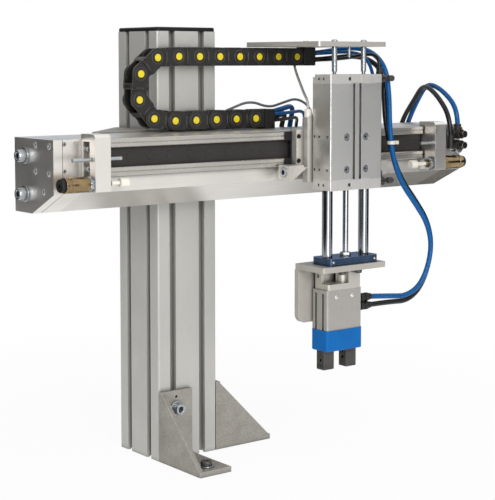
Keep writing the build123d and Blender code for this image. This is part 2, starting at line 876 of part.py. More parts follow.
def end_sensors():
    """Slim round sensors that pass through both stop brackets."""
    pieces = []
    for side, length in zip((-1, 1), sensor_lengths):
        inner = left_stop + stop_width if side < 0 else right_stop
        start = (inner - side * sensor_inward, axis_y, sensor_height)
        outward = (side, 0, 0)
        sensor = disc(start, outward, sensor_diameter, length)
        collar = along(start, outward, sensor_inward - sensor_collar_length)
        pieces.append(sensor + disc(collar, outward, sensor_collar, sensor_collar_length))
    return pieces


def flow_controls():
    """Two flow control valves: thread, hexagon, body and a tube port that points up."""
    pieces = []
    forward = (0, -1, 0)
    for index, z in enumerate(control_heights):
        start = (control_x, beam_front + control_thread_length, z)
        body = disc(start, forward, control_thread, 2 * control_thread_length)
        hex_at = along(start, forward, 2 * control_thread_length)
        body += hexagon(hex_at, forward, control_hex, control_hex_length)
        body_at = along(hex_at, forward, control_hex_length)
        body += disc(body_at, forward, control_body, control_body_length)
        port_y = body_at[1] - control_port_back
        port_x = control_x - index * control_side_arm
        if index:
            body += disc((port_x, port_y, z), (1, 0, 0), control_arm, control_side_arm)
        body += disc((port_x, port_y, z - control_arm / 2), (0, 0, 1), control_port,
                     control_port_lift + control_arm / 2)
        body -= disc((port_x, port_y, z + control_port_lift), (0, 0, -1), tube_diameter + screw_play,
                     manifold_socket_depth)
        front = along(body_at, forward, control_body_length)
        body -= disc(front, (0, 1, 0), control_stem + 2 * sliding_fit, control_stem_length)
        pieces.append(body)
    return pieces


def control_face():
    """Y of the front face of a flow control's body, where its throttle screw turns."""
    return beam_front - control_thread_length - control_hex_length - control_body_length


def throttle_screw(z):
    """Domed throttle screw with a driver slot and a stem in the valve's body."""
    forward = (0, -1, 0)
    face = (control_x, control_face() - running_gap, z)
    knob = disc(face, forward, control_knob, control_knob_length)
    rim = along(face, forward, control_knob_length)
    dome_radius = (control_knob ** 2 / 4 + control_dome ** 2) / (2 * control_dome)
    dome = Pos(rim[0], rim[1] - control_dome + dome_radius, z) * Sphere(dome_radius)
    dome &= disc(rim, forward, control_knob, control_dome)
    body = knob + dome
    body -= block(control_x - control_knob, control_x + control_knob, rim[1] - control_dome - 1,
                  rim[1] - control_dome + 1.6, z - control_slot / 2, z + control_slot / 2)
    return body + disc(face, (0, 1, 0), control_stem, control_stem_length - running_gap)


def carriage_block():
    """Carriage: a plate before the rails, a tongue between them and a hook over the upper one."""
    left = carriage_left + carriage_end
    right = carriage_right - carriage_end
    body = block(left, right, carriage_front, carriage_back, carriage_bottom, carriage_top)
    low = cover_bottom + running_gap
    high = upper_rail_bottom - running_gap
    body += block(left, right, carriage_back, cover_front - plug_proud - tongue_gap, low, high)
    hook_back = carriage_back + carriage_hook
    body += block(left, right, carriage_back, hook_back, carriage_top - carriage_hook_wall, carriage_top)
    return body


def carriage_ends():
    """End plates of the carriage, each with a lug that meets a buffer."""
    pieces = []
    lug_y = carriage_front - lug_front
    for side, edge in ((-1, carriage_left), (1, carriage_right)):
        inner = edge - side * carriage_end
        body = block(inner, edge, carriage_front, carriage_back, carriage_bottom, carriage_top)
        tip = edge + side * lug_reach
        wedge = [(inner, carriage_bottom), (tip - side * lug_flat, lug_bottom), (tip, lug_bottom),
                 (tip, lug_top), (inner, lug_top)]
        lug_back = carriage_back - wiper_thickness - running_gap
        wedge_body = prism_y(wedge, lug_y, lug_back)
        keep_out = block(inner, edge, lug_y, carriage_front, carriage_bottom, lug_top)
        body += wedge_body - keep_out
        body -= disc((tip, axis_y, absorber_height), (-side, 0, 0), lug_screw + screw_play,
                     lug_screw_length)
        for z in carriage_plug_heights:
            plug_at = ((inner + edge) / 2, carriage_front, z)
            body -= disc(plug_at, (0, 1, 0), carriage_plug, carriage_plug_depth)
        pieces.append(body)
    return pieces


def carriage_screws():
    """Stop screws in the lugs and the plugs in the end plates' front."""
    pieces = []
    for side, edge in ((-1, carriage_left), (1, carriage_right)):
        tip = (edge + side * (lug_reach + lug_screw_proud), axis_y, absorber_height)
        screw = disc(tip, (-side, 0, 0), lug_screw, lug_screw_length)
        screw += disc(tip, (-side, 0, 0), lug_screw_head, lug_screw_proud)
        screw -= hexagon(tip, (-side, 0, 0), lug_screw_socket, lug_screw / 2)
        pieces.append(screw)
        for z in carriage_plug_heights:
            floor = (edge - side * carriage_end / 2, carriage_front + carriage_plug_depth, z)
            plug = disc(floor, (0, -1, 0), carriage_plug - screw_play,
                        carriage_plug_depth + carriage_plug_proud)
            pieces.append(plug)
    return pieces


def rail_wipers():
    """Wiper blocks before both rails, joined by a thin seal, at both ends of the carriage."""
    pieces = []
    front = carriage_back - wiper_thickness
    for side, edge in ((-1, carriage_left), (1, carriage_right)):
        piece = block(edge, edge + side * wiper_seal, front, carriage_back, lower_rail_bottom - wiper_proud,
                      beam_top + wiper_proud)
        for bottom in (lower_rail_bottom, upper_rail_bottom):
            wiper = block(edge, edge + side * wiper_length, front, carriage_back, bottom - wiper_proud,
                          bottom + rail_height + wiper_proud)
            outer = wiper.edges().filter_by(Axis.Z).sort_by_distance((edge + side * wiper_length, front,
                                                                       bottom))[0]
            piece += fillet(outer, 0.8)
        pieces.append(piece)
    return pieces


def adapter_plate():
    """Plate between the carriage and the cylinder."""
    half = adapter_width / 2
    plate = block(carriage_centre - half, carriage_centre + half, adapter_front, carriage_front,
                  adapter_bottom, adapter_top)
    plate = chamfer(plate.edges().filter_by(Axis.Z).group_by(Axis.Y)[0], adapter_chamfer)
    for x, z in cylinder_screw_spots():
        plate -= disc((x, adapter_front, z), (0, 1, 0), cylinder_screw + screw_play, adapter_thickness)
    return plate


def cylinder_screw_spots():
    """Places of the four screws through the cylinder as (x, z)."""
    return [(carriage_centre + side * cylinder_screw_offset, z)
            for side in (-1, 1) for z in cylinder_screw_heights]


def guide_spots():
    """X of the two guide rods."""
    return [carriage_centre - guide_spacing / 2, carriage_centre + guide_spacing / 2]


def cylinder_body():
    """Cylinder body with three bores, two sensor grooves, counterbores and side bores."""
    body = rounded_block(cylinder_left, cylinder_right, cylinder_front, adapter_front, body_bottom, body_top,
                         cylinder_corner)
    up = (0, 0, 1)
    for x in guide_spots():
        body -= disc((x, rod_y, body_bottom), up, guide_diameter + 2 * bush_wall, body_height)
    body -= disc((carriage_centre, rod_y, body_bottom), up, lift_bore, body_height)
    for offset in groove_offsets:
        x = carriage_centre + offset
        half = groove_width / 2
        body -= block(x - half, x + half, cylinder_front, cylinder_front + groove_lip, body_bottom, body_top)
        body -= block(x - half - 0.5, x + half + 0.5, cylinder_front + groove_lip,
                      cylinder_front + groove_depth, body_bottom, body_top)
    for x, z in cylinder_screw_spots():
        front = (x, cylinder_front, z)
        body -= disc(front, (0, 1, 0), cylinder_screw_head + 2 * screw_play, cylinder_counterbore_depth)
        body -= disc(front, (0, 1, 0), cylinder_screw + screw_play, cylinder_depth)
    for depth in side_body_spots:
        for z in side_body_heights:
            body -= disc((cylinder_left, adapter_front - depth, z), (1, 0, 0), side_bore, side_depth)
    return body


def cap_face_details(body, low, high):
    """Cut the shallow recesses, the air port and the side bores that both caps share."""
    for start in (cylinder_left + 2 * cap_recess_from, cylinder_right - cap_recess_width - cylinder_corner):
        body -= block(start, start + cap_recess_width, cylinder_front, cylinder_front + cap_recess, low, high)
    middle = (low + high) / 2
    body -= disc((carriage_centre + port_offset, cylinder_front, middle), (0, 1, 0), port_bore, port_depth)
    for depth in side_cap_spots:
        body -= disc((cylinder_left, adapter_front - depth, middle), (1, 0, 0), side_bore, side_depth)
    body -= disc((cylinder_right, rod_y, middle), (-1, 0, 0), lift_fitting_thread + screw_play,
                 lift_fitting_thread_length)
    return body


def upper_cylinder_cap():
    """Upper cap with blind guide bores, a stepped back edge and seats for the posts and screws."""
    cap = rounded_block(cylinder_left, cylinder_right, cylinder_front, adapter_front, body_top, cylinder_top,
                        cylinder_corner)
    cap -= block(cylinder_left, cylinder_right, adapter_front - cap_step_depth, adapter_front,
                 cylinder_top - cap_step, cylinder_top)
    for x in guide_spots():
        cap -= disc((x, rod_y, body_top), (0, 0, 1), guide_diameter + 2 * guide_bore_play,
                    guide_bore_cap_depth)
    cap = cap_face_details(cap, body_top, cylinder_top)
    for side in (-1, 1):
        x = carriage_centre + side * cap_screw_offset
        for y in cap_screw_rows():
            cap -= disc((x, y, cylinder_top), (0, 0, -1), cap_screw_head + screw_play, cap_screw_height)
        cap -= disc((carriage_centre + side * post_spacing / 2, post_y, cylinder_top), (0, 0, -1),
                    post_screw + screw_play, port_depth)
    return cap


def cap_screw_rows():
    """Y of the two rows of small screws in the upper cap."""
    return [rod_y - 12.0, rod_y + 8.0]


def lower_cylinder_cap():
    """Lower cap with the three rod bores."""
    cap = rounded_block(cylinder_left, cylinder_right, cylinder_front, adapter_front, cylinder_bottom,
                        body_bottom, cylinder_corner)
    up = (0, 0, 1)
    for x in guide_spots():
        cap -= disc((x, rod_y, cylinder_bottom), up, guide_diameter + 2 * guide_bore_play, lower_cap_height)
    cap -= disc((carriage_centre, rod_y, cylinder_bottom), up, piston_rod_diameter + 2 * sliding_fit,
                lower_cap_height)
    return cap_face_details(cap, cylinder_bottom, body_bottom)


def cylinder_screws():
    """Four screws through the cylinder into the adapter and four small ones in the upper cap."""
    pieces = []
    for x, z in cylinder_screw_spots():
        seat = (x, cylinder_front + cylinder_counterbore_depth, z)
        length = cylinder_depth - cylinder_counterbore_depth + adapter_thickness - 1
        pieces.append(socket_screw(seat, (0, -1, 0), length, cylinder_screw, cylinder_screw_head,
                                   cylinder_screw_head_height, socket_width / 2))
    for side in (-1, 1):
        for y in cap_screw_rows():
            seat = (carriage_centre + side * cap_screw_offset, y, cylinder_top - cap_screw_height)
            head = disc(seat, (0, 0, 1), cap_screw_head, cap_screw_height - screw_play)
            pieces.append(head - hexagon(along(seat, (0, 0, 1), cap_screw_height - screw_play), (0, 0, -1),
                                         2.0, 1.2))
    return pieces


def guide_bushes():
    """Bronze bushes at both ends of the two guide bores."""
    pieces = []
    for x in guide_spots():
        for low in (body_bottom, body_top - bush_length):
            ring = disc((x, rod_y, low), (0, 0, 1), guide_diameter + 2 * bush_wall, bush_length)
            ring -= disc((x, rod_y, low), (0, 0, 1), guide_diameter + 2 * sliding_fit, bush_length)
            pieces.append(ring)
    return pieces


def top_plate():
    """Plate on the posts, which carries the moving end of the energy chain."""
    plate = rounded_block(plate_left, plate_right, plate_front, plate_back, plate_bottom, plate_top,
                          plate_corner)
    for side in (-1, 1):
        plate -= disc((carriage_centre + side * post_spacing / 2, post_y, plate_bottom), (0, 0, 1),
                      post_screw + screw_play, plate_thickness)
    for x, y in [*chain_screw_spots(), (carriage_centre, post_y)]:
        plate -= disc((x, y, plate_bottom), (0, 0, 1), post_screw + screw_play, plate_thickness)
    return plate


def plate_posts():
    """Two turned posts with hexagon ends, and the domed screws above and below the plate."""
    pieces = []
    for side in (-1, 1):
        start = (carriage_centre + side * post_spacing / 2, post_y, cylinder_top)
        length = plate_bottom - cylinder_top
        post = turned(start, (0, 0, 1), [(post_neck, post_neck_height),
                                         (post_diameter, length - post_neck_height)])
        post += disc(start, (0, 0, -1), post_screw, port_depth - screw_play)
        post -= disc(along(start, (0, 0, 1), length), (0, 0, -1), post_screw + screw_play, port_depth)
        seat = along(start, (0, 0, 1), length + plate_thickness)
        head = disc(seat, (0, 0, 1), post_screw_head, post_screw_height)
        head = fillet(head.edges().group_by(Axis.Z)[-1], post_screw_height - 0.4)
        screw = head + disc(seat, (0, 0, -1), post_screw, plate_thickness + port_depth - screw_play)
        pieces += [post, screw]
    for x, y in chain_screw_spots():
        seat = (x, y, plate_top)
        screw = disc(seat, (0, 0, 1), post_screw_head, post_screw_height)
        screw += disc(seat, (0, 0, -1), post_screw, plate_thickness + chain_end_foot)
        pieces.append(screw)
    pieces.append(disc((carriage_centre, post_y, plate_top), (0, 0, -1), post_screw,
                       plate_thickness + hanging_screw_length))
    return pieces


def lift_fitting(z):
    """Flow control on the cylinder's right side with a tube port that points up and a knurled knob."""
    start = (cylinder_right - lift_fitting_thread_length + screw_play, rod_y, z)
    right = (1, 0, 0)
    body = turned(start, right, [
        (lift_fitting_thread, lift_fitting_thread_length - screw_play),
        (lift_fitting_body, lift_fitting_body_length),
        (lift_fitting_neck, lift_fitting_neck_length),
        (lift_fitting_knob, lift_fitting_knob_length)])
    port = (cylinder_right + lift_fitting_port_out, rod_y, z)
    body += disc(port, (0, 0, 1), lift_fitting_port, lift_fitting_port_lift)
    body -= disc(along(port, (0, 0, 1), lift_fitting_port_lift), (0, 0, -1), lift_tube_diameter + screw_play,
                 manifold_socket_depth)
    return body


def lift_fitting_heights():
    """Z of the flow controls on the lower and on the upper cap."""
    return [cylinder_bottom + lower_cap_height / 2, body_top + upper_cap_height / 2]


def cylinder_fittings():
    """The two flow controls of the cylinder."""
    return [lift_fitting(z) for z in lift_fitting_heights()]


def guide_rods():
    """Two hardened guide rods with chamfered upper ends."""
    rods = []
    for x in guide_spots():
        rod = disc((x, rod_y, gripper_plate_top), (0, 0, 1), guide_diameter, guide_top - gripper_plate_top)
        rods.append(chamfer(rod.edges().group_by(Axis.Z)[-1], 1.0))
    return rods


def piston_rod():
    """Piston and its rod as one turned piece, with a seal groove round the piston."""
    start = (carriage_centre, rod_y, gripper_plate_top)
    up = (0, 0, 1)
    body = disc(start, up, piston_rod_diameter, lift_piston_bottom - gripper_plate_top)
    base = (carriage_centre, rod_y, lift_piston_bottom)
    piston = disc(base, up, lift_bore - 2 * sliding_fit, lift_piston_length)
    groove_at = along(base, up, lift_piston_length / 2 - 1)
    piston -= disc(groove_at, up, lift_bore, 2) - disc(groove_at, up, lift_bore - 3, 2)
    return body + piston


def yoke():
    """Plate that joins the three rods, with rounded ends and threaded bores in its front edge."""
    half = yoke_width / 2
    body = rounded_block(carriage_centre - half, carriage_centre + half, yoke_front, yoke_front + yoke_depth,
                         gripper_plate_top, yoke_top, yoke_corner)
    up = (0, 0, 1)
    for x in guide_spots():
        body -= disc((x, rod_y, gripper_plate_top), up, guide_diameter + screw_play, yoke_thickness)
    body -= disc((carriage_centre, rod_y, gripper_plate_top), up, piston_rod_diameter + screw_play,
                 yoke_thickness)
    middle = gripper_plate_top + yoke_thickness / 2
    for side in (-1, 1):
        x = carriage_centre + side * (half - yoke_edge_hole_inset)
        body -= disc((x, yoke_front, middle), (0, 1, 0), yoke_edge_hole, yoke_edge_hole_depth)
        x = carriage_centre + side * plate_screw_offset
        body -= disc((x, gripper_plate_front + plate_screw_front, gripper_plate_top), up,
                     plate_screw + screw_play, yoke_thickness - 1)
    return body


def yoke_fasteners():
    """Nut on the piston rod, the screws that hold the gripper's plate, and two set screws in the gripper."""
    up = (0, 0, 1)
    start = (carriage_centre, rod_y, yoke_top)
    nut = hexagon(start, up, rod_nut, rod_nut_thickness)
    nut -= disc(start, up, piston_rod_diameter + screw_play, rod_nut_thickness)
    pieces = [nut]
    for side in (-1, 1):
        x = carriage_centre + side * plate_screw_offset
        seat = (x, gripper_plate_front + plate_screw_front, gripper_plate_bottom)
        pieces.append(socket_screw(seat, (0, 0, -1), gripper_plate_thickness + yoke_thickness - 2,
                                   plate_screw, plate_screw_head, plate_screw_head_height,
                                   plate_screw_socket))
        face = (gripper_x + side * gripper_hole_offset, gripper_front + gripper_screw_sunk,
                gripper_top - gripper_hole_drop)
        screw = disc(face, (0, 1, 0), gripper_hole - screw_play, gripper_hole_depth - gripper_screw_sunk)
        pieces.append(screw - hexagon(face, (0, 1, 0), gripper_screw_socket, gripper_screw_socket))
    return pieces


def gripper_bracket():
    """Angle under the yoke: a plate and a leg with rounded lower corners behind the gripper."""
    left = gripper_plate_left
    plate = rounded_block(left, left + gripper_plate_width, gripper_plate_front, gripper_plate_back,
                          gripper_plate_bottom, gripper_plate_top, 2)
    leg = block(left, left + gripper_leg_width, gripper_back, gripper_plate_back, gripper_leg_bottom,
                gripper_plate_bottom)
    leg = fillet(leg.edges().filter_by(Axis.Y).group_by(Axis.Z)[0], gripper_leg_corner)
    body = plate + leg
    inner = body.edges().filter_by(Axis.X).sort_by_distance((left + gripper_leg_width / 2, gripper_back,
                                                             gripper_plate_bottom))[0]
    body = fillet(inner, gripper_inner_corner)
    for side in (-1, 1):
        x = carriage_centre + side * plate_screw_offset
        body -= disc((x, gripper_plate_front + plate_screw_front, gripper_plate_bottom), (0, 0, 1),
                     plate_screw + screw_play, gripper_plate_thickness)
    return body


def gripper_mount():
    """Block above the gripper with an open pocket in front, a round post in it and a bore in its left wall."""
    back = gripper_back - gripper_inner_corner - running_gap
    front = back - mount_depth
    left = gripper_x - mount_width / 2
    right = left + mount_width
    floor = gripper_top + mount_floor
    middle = (front + back) / 2
    body = rounded_block(left, right, front, back, gripper_top, gripper_plate_bottom, 2)
    body -= block(left + mount_wall, right - mount_right_wall, front, back - mount_wall, floor,
                  gripper_plate_bottom)
    body -= block(left, left + mount_wall, front, middle, floor, gripper_plate_bottom)
    body += disc((right - mount_right_wall, middle, floor), (0, 0, 1), mount_post,
                 gripper_plate_bottom - floor)
    return body - disc((left, (middle + back) / 2, (floor + gripper_plate_bottom) / 2), (1, 0, 0),
                       mount_pin_hole, mount_wall)


def gripper_body():
    """Gripper body with upright grooves in its sides, front bores and fitting threads."""
    body = rounded_block(gripper_left, gripper_right, gripper_front, gripper_back, gripper_bottom,
                         gripper_top, gripper_corner)
    half = gripper_groove / 2
    for x, inward in ((gripper_left, 1), (gripper_right, -1)):
        for y in (gripper_y - 6, gripper_y + 6):
            body -= block(x, x + inward * gripper_groove_depth, y - half, y + half, gripper_bottom,
                          gripper_top - 4)
    for side in (-1, 1):
        x = gripper_x + side * gripper_hole_offset
        body -= disc((x, gripper_front, gripper_top - gripper_hole_drop), (0, 1, 0), gripper_hole,
                     gripper_hole_depth)
    for z in gripper_fitting_heights:
        depth = gripper_fitting_thread_length
        body -= disc((gripper_right, gripper_y - gripper_fitting_forward, z), (-1, 0, 0),
                     gripper_fitting_thread + screw_play, depth + gripper_groove_depth)
    return body


def jaw_pocket():
    """Pocket for both jaws and their travel, as (x0, x1, y0, y1)."""
    reach = jaw_gap / 2 + jaw_width + running_gap
    half = jaw_depth / 2 + running_gap
    return gripper_x - reach, gripper_x + reach, gripper_y - half, gripper_y + half


def gripper_cover():
    """Moulded cover round the jaw guides, open below for the jaws' travel."""
    body = rounded_block(gripper_left - cover_proud, gripper_right + cover_proud, gripper_front - cover_proud,
                         gripper_back, cover_low, gripper_bottom, cover_corner)
    body = chamfer(body.edges().group_by(Axis.Z)[0], 0.8)
    x0, x1, y0, y1 = jaw_pocket()
    return body - block(x0, x1, y0, y1, cover_low, cover_low + jaw_root + running_gap)


def jaw(side):
    """Jaw finger with a cross bore and two pin bores for the customer's fingertip."""
    outer = gripper_x + side * (jaw_gap / 2 + jaw_width)
    inner = gripper_x + side * jaw_gap / 2
    half = jaw_depth / 2
    body = block(outer, inner, gripper_y - half, gripper_y + half, jaw_bottom, cover_low + jaw_root)
    body = chamfer(body.edges().group_by(Axis.Z)[0], jaw_chamfer)
    start = (min(outer, inner), gripper_y, jaw_hole_height)
    body -= disc(start, (1, 0, 0), jaw_hole, jaw_width)
    for offset in (-jaw_pin_pitch, jaw_pin_pitch):
        body -= disc(along(start, (0, 0, 1), offset), (1, 0, 0), jaw_pin_hole, jaw_width)
    return body


def gripper_fittings():
    """Two straight push-in fittings on the gripper's right side."""
    pieces = []
    right = (1, 0, 0)
    for z in gripper_fitting_heights:
        depth = gripper_fitting_thread_length + gripper_groove_depth - screw_play
        start = (gripper_right - depth, gripper_y - gripper_fitting_forward, z)
        body = disc(start, right, gripper_fitting_thread, depth)
        hex_at = along(start, right, depth)
        body += hexagon(hex_at, right, gripper_fitting_hex, gripper_fitting_hex_length)
        body += turned(along(hex_at, right, gripper_fitting_hex_length), right,
                       [(gripper_fitting_body, gripper_fitting_body_length),
                        (gripper_fitting_ring, gripper_fitting_ring_length)])
        tip = fitting_tip(z)
        body -= disc(tip, (-1, 0, 0), tube_diameter + screw_play, manifold_socket_depth)
        pieces.append(body)
    return pieces


def fitting_tip(z):
    """Mouth of a gripper fitting."""
    length = gripper_fitting_hex_length + gripper_fitting_body_length + gripper_fitting_ring_length
    return (gripper_right + length, gripper_y - gripper_fitting_forward, z)


def chain_pins():
    """Places of the chain's pins as (x, z): lower run, bend and upper run, from the fixed end."""
    step = 2 * math.degrees(math.asin(chain_pitch / 2 / chain_radius))
    bend = []
    for index in range(chain_bend_pins):
        angle = math.radians(chain_first_angle + (chain_bend_pins - 1 - index) * step)
        bend.append((chain_bend_x + chain_radius * math.cos(angle),
                     chain_bend_z + chain_radius * math.sin(angle)))
    first = bend[0][0] + math.sqrt(chain_pitch ** 2 - (bend[0][1] - chain_lower_z) ** 2)
    lower = [(first + index * chain_pitch, chain_lower_z) for index in range(chain_lower_pins)]
    last = bend[-1][0] + math.sqrt(chain_pitch ** 2 - (bend[-1][1] - chain_upper_z) ** 2)
    upper = [(last + index * chain_pitch, chain_upper_z) for index in range(chain_upper_pins)]
    return lower[::-1], bend, upper


def side_plates(outer):
    """Y ranges of the two outer or the two inner side plates of a link, about its middle."""
    edge = chain_width / 2
    if not outer:
        edge -= chain_wall + chain_layer_gap
    return [(-edge, chain_wall - edge), (edge - chain_wall, edge)]


def chain_link():
    """One chain link along +X from its inner eyes at x = 0 to its outer eyes at one pitch."""
    half = chain_height / 2
    start = chain_body_start
    end = start + chain_bar
    body = None
    for y0, y1 in side_plates(True):
        plate = block(start, chain_pitch, y0, y1, -half, half)
        plate += disc((chain_pitch, y0, 0), (0, 1, 0), 2 * chain_eye, chain_wall)
        body = plate if body is None else body + plate
    inner_eye = chain_eye - chain_eye_gap
    for y0, y1 in side_plates(False):
        body += block(0, end, y0, y1, -inner_eye, inner_eye)
        body += disc((0, y0, 0), (0, 1, 0), 2 * inner_eye, chain_wall)
    crank = chain_width / 2 - 2 * chain_wall - chain_layer_gap
    for side in (-1, 1):
        body += block(start, end, side * crank, side * chain_width / 2, -half, half)
        bar_low = side * half
        body += block(start, end, -chain_width / 2, chain_width / 2, bar_low,
                      bar_low - side * chain_bar_thickness)
    for x in (0, chain_pitch):
        body -= disc((x, -chain_width / 2, 0), (0, 1, 0), pin_diameter + 2 * pin_play, chain_width)
    return body


def chain_stub(side):
    """Pin stub through one pair of side plates, with its round cap outside."""
    edge = side * chain_width / 2
    length = 2 * chain_wall + chain_layer_gap
    stub = disc((0, edge, 0), (0, -side, 0), pin_diameter, length)
    return stub + disc((0, edge, 0), (0, side, 0), pin_cap, pin_cap_thickness)


def place(piece, start, end):
    """Put a piece drawn along +X at a start pin so that it points at an end pin."""
    angle = math.degrees(math.atan2(end[1] - start[1], end[0] - start[0]))
    return Pos(start[0], chain_y, start[1]) * Rot(0, -angle, 0) * piece


def chain_run(pins):
    """Links from pin to pin with the stubs at each link's outer eyes."""
    link = chain_link()
    stubs = [chain_stub(side) for side in (-1, 1)]
    pieces = []
    for start, end in zip(pins, pins[1:]):
        pieces.append(place(link, start, end))
        for stub in stubs:
            pieces.append(Pos(end[0], chain_y, end[1]) * stub)
    return pieces


def chain_end(outer, foot_z):
    """End bracket along +X from its eyes at x = 0: two cheeks, a bar and a foot for screws."""
    half = chain_height / 2
    start = chain_body_start
    crank = chain_width / 2 - 2 * chain_wall - chain_layer_gap
    body = None
    for side in (-1, 1):
        cheek = block(start, chain_end_reach, side * crank, side * chain_width / 2, -half, half)
        body = cheek if body is None else body + cheek
    eye = chain_eye if outer else chain_eye - chain_eye_gap
    for y0, y1 in side_plates(outer):
        body += block(0, start + 1, y0, y1, -eye, eye)
        body += disc((0, y0, 0), (0, 1, 0), 2 * eye, chain_wall)
    if outer:
        body -= block(-half, start, -crank - 2 * chain_wall - chain_layer_gap + chain_wall,
                      crank + 2 * chain_wall + chain_layer_gap - chain_wall, -half, half)
    low = half if foot_z > 0 else -half
    body += block(start, chain_end_reach, -chain_width / 2, chain_width / 2, low,
                  low - math.copysign(chain_bar_thickness, low))
    foot_start = chain_end_reach - chain_end_foot_length
    body += block(foot_start, chain_end_reach, -chain_width / 2, chain_width / 2, low, foot_z)
    body += block(start, start + chain_bar, -chain_width / 2, chain_width / 2, -low,
                  -low + math.copysign(chain_bar_thickness, low))
    body -= disc((0, -chain_width / 2, 0), (0, 1, 0), pin_diameter + 2 * pin_play, chain_width)
    return body


def chain_screw_spots():
    """Places of the screws that hold the chain's moving end under the plate, as (x, y)."""
    x = chain_pins()[2][-1][0] + chain_end_reach - chain_end_foot_length / 2
    return [(x, chain_y)]


def chain_lower_run():
    """Fixed end bracket and the links of the lower run."""
    pins = chain_pins()[0]
    end = chain_end(True, beam_top - chain_lower_z)
    pieces = [Pos(pins[0][0], chain_y, pins[0][1]) * end]
    pieces += [Pos(pins[0][0], chain_y, pins[0][1]) * chain_stub(side) for side in (-1, 1)]
    return pieces + chain_run(pins)


def chain_bend():
    """Links round the bend, from the last lower pin to the first upper pin."""
    lower, bend, upper = chain_pins()
    return chain_run([lower[-1]] + bend + [upper[0]])


def chain_upper_run():
    """Links of the upper run and the end bracket under the plate."""
    pins = chain_pins()[2]
    end = chain_end(False, plate_bottom - chain_upper_z)
    for x, y in chain_screw_spots():
        end -= disc((x - pins[-1][0], 0, chain_height / 2 - chain_bar_thickness), (0, 0, 1),
                    post_screw + screw_play, chain_height)
    return chain_run(pins) + [Pos(pins[-1][0], chain_y, pins[-1][1]) * end]


def tube_manifold():
    """Air distributor on the beam's back with push-in sockets on its top and its right side."""
    body = block(manifold_left, manifold_right, beam_back, beam_back + manifold_depth, manifold_bottom,
                 manifold_top)
    body = chamfer(body.edges().filter_by(Axis.X), 1.0)
    up = (0, 0, 1)
    pieces = []
    for spot in manifold_top_spots:
        seat = (manifold_left + spot, manifold_y, manifold_top)
        port = disc(seat, up, manifold_port, manifold_port_height)
        bore = cable_diameter if spot == manifold_top_spots[-1] else tube_diameter
        if spot in manifold_top_spots[2:4]:
            bore = lift_tube_diameter
        port -= disc(along(seat, up, manifold_port_height), (0, 0, -1), bore + screw_play,
                     manifold_socket_depth)
        pieces.append(port)
    for z in manifold_side_heights:
        seat = (manifold_right, manifold_y, z)
        port = disc(seat, (1, 0, 0), manifold_port, manifold_port_height)
        port -= disc(along(seat, (1, 0, 0), manifold_port_height), (-1, 0, 0), tube_diameter + screw_play,
                     manifold_socket_depth)
        pieces.append(port)
    return [body] + pieces


def tube(name, points, diameter):
    """Tube of one diameter along straight runs joined by arcs, with its bend radii printed."""
    radii = []
    for before, corner, after in zip(points, points[1:], points[2:]):
        into = Vector(*corner) - Vector(*before)
        out = Vector(*after) - Vector(*corner)
        half_turn = math.radians(into.get_angle(out)) / 2
        radii.append(0.45 * min(into.length, out.length) / math.tan(half_turn))
    path = FilletPolyline(*points, radius=radii)
    print(name, "radii", [round(radius, 1) for radius in radii], "length", round(path.length, 1))
    start = Plane(origin=path @ 0, z_dir=path % 0)
    return sweep(start * Circle(diameter / 2), path=path)


def manifold_mouth(index):
    """Mouth of a socket on the distributor's top, at the floor of its bore."""
    return (manifold_left + manifold_top_spots[index], manifold_y,
            manifold_top + manifold_port_height - manifold_socket_depth)


def side_mouth(index):
    """Mouth of a socket on the distributor's right side, at the floor of its bore."""
    return (manifold_right + manifold_port_height - manifold_socket_depth, manifold_y,
            manifold_side_heights[index])


def control_mouth(index):
    """Floor of the tube socket in a flow control's upright port."""
    port_y = beam_front - control_thread_length - control_hex_length - control_port_back
    return (control_x - index * control_side_arm, port_y,
            control_heights[index] + control_port_lift - manifold_socket_depth)


def blue_end_tube():
    """Tube from the upper flow control over the beam and down to the distributor's lower side socket."""
    start = control_mouth(0)
    x, y, z = start
    points = [start, (x, y, beam_top + 25), (x + 2, y + 20, beam_top + 48), (x + 4, y + 50, beam_top + 51),
              (x + 6, y + 80, beam_top + 35), (x + 7, manifold_y - 1, beam_top - 1),
              (x + 4, manifold_y, beam_top - 37), (x - 16, manifold_y + 1, beam_top - 55),
              (x - 56, manifold_y, beam_top - 60), (x - 96, manifold_y, side_mouth(1)[2]), side_mouth(1)]
    return tube("blue_end_tube", points, tube_diameter)


def black_end_tube():
    """Tube from the lower flow control over the beam and down to the distributor's upper side socket."""
    start = control_mouth(1)
    x, y, z = start
    points = [start, (x, y, beam_top + 13), (x + 2, y + 22, beam_top + 39), (x + 4, y + 52, beam_top + 43),
              (x + 6, y + 81, beam_top + 27), (x + 7, manifold_y - 1, beam_top + 3),
              (x + 4, manifold_y, beam_top - 25), (x - 14, manifold_y + 1, beam_top - 41),
              (x - 46, manifold_y, beam_top - 45.5), (x - 84, manifold_y, side_mouth(0)[2]), side_mouth(0)]
    return tube("black_end_tube", points, tube_diameter)


def chain_mouth(upper, row, thin):
    """Point inside a chain end where a tube starts; row is +1 for the upper one of two."""
    lower_pins, bend, upper_pins = chain_pins()
    pin = upper_pins[-1] if upper else lower_pins[0]
    y = chain_y + (chain_thin_offset if thin else chain_thick_offset)
    return (pin[0] + chain_mouth_depth, y, pin[1] + row * chain_row_offset)


def supply_tube(name, index, row, thin):
    """Tube from the chain's fixed end over the beam's back edge to a socket on the distributor."""
    mouth = manifold_mouth(index)
    start = chain_mouth(False, row, thin)
    dx = mouth[0] - start[0]
    dy = mouth[1] - start[1]
    points = [start, (start[0] + 0.45 * dx, start[1], start[2] + 1.5),
              (start[0] + 0.86 * dx, start[1] + 0.45 * dy, start[2] + 3.5),
              (mouth[0] - 0.3, mouth[1] - 1, mouth[2] + 33), (mouth[0], mouth[1], mouth[2] + 14), mouth]
    return tube(name, points, lift_tube_diameter if thin else tube_diameter)


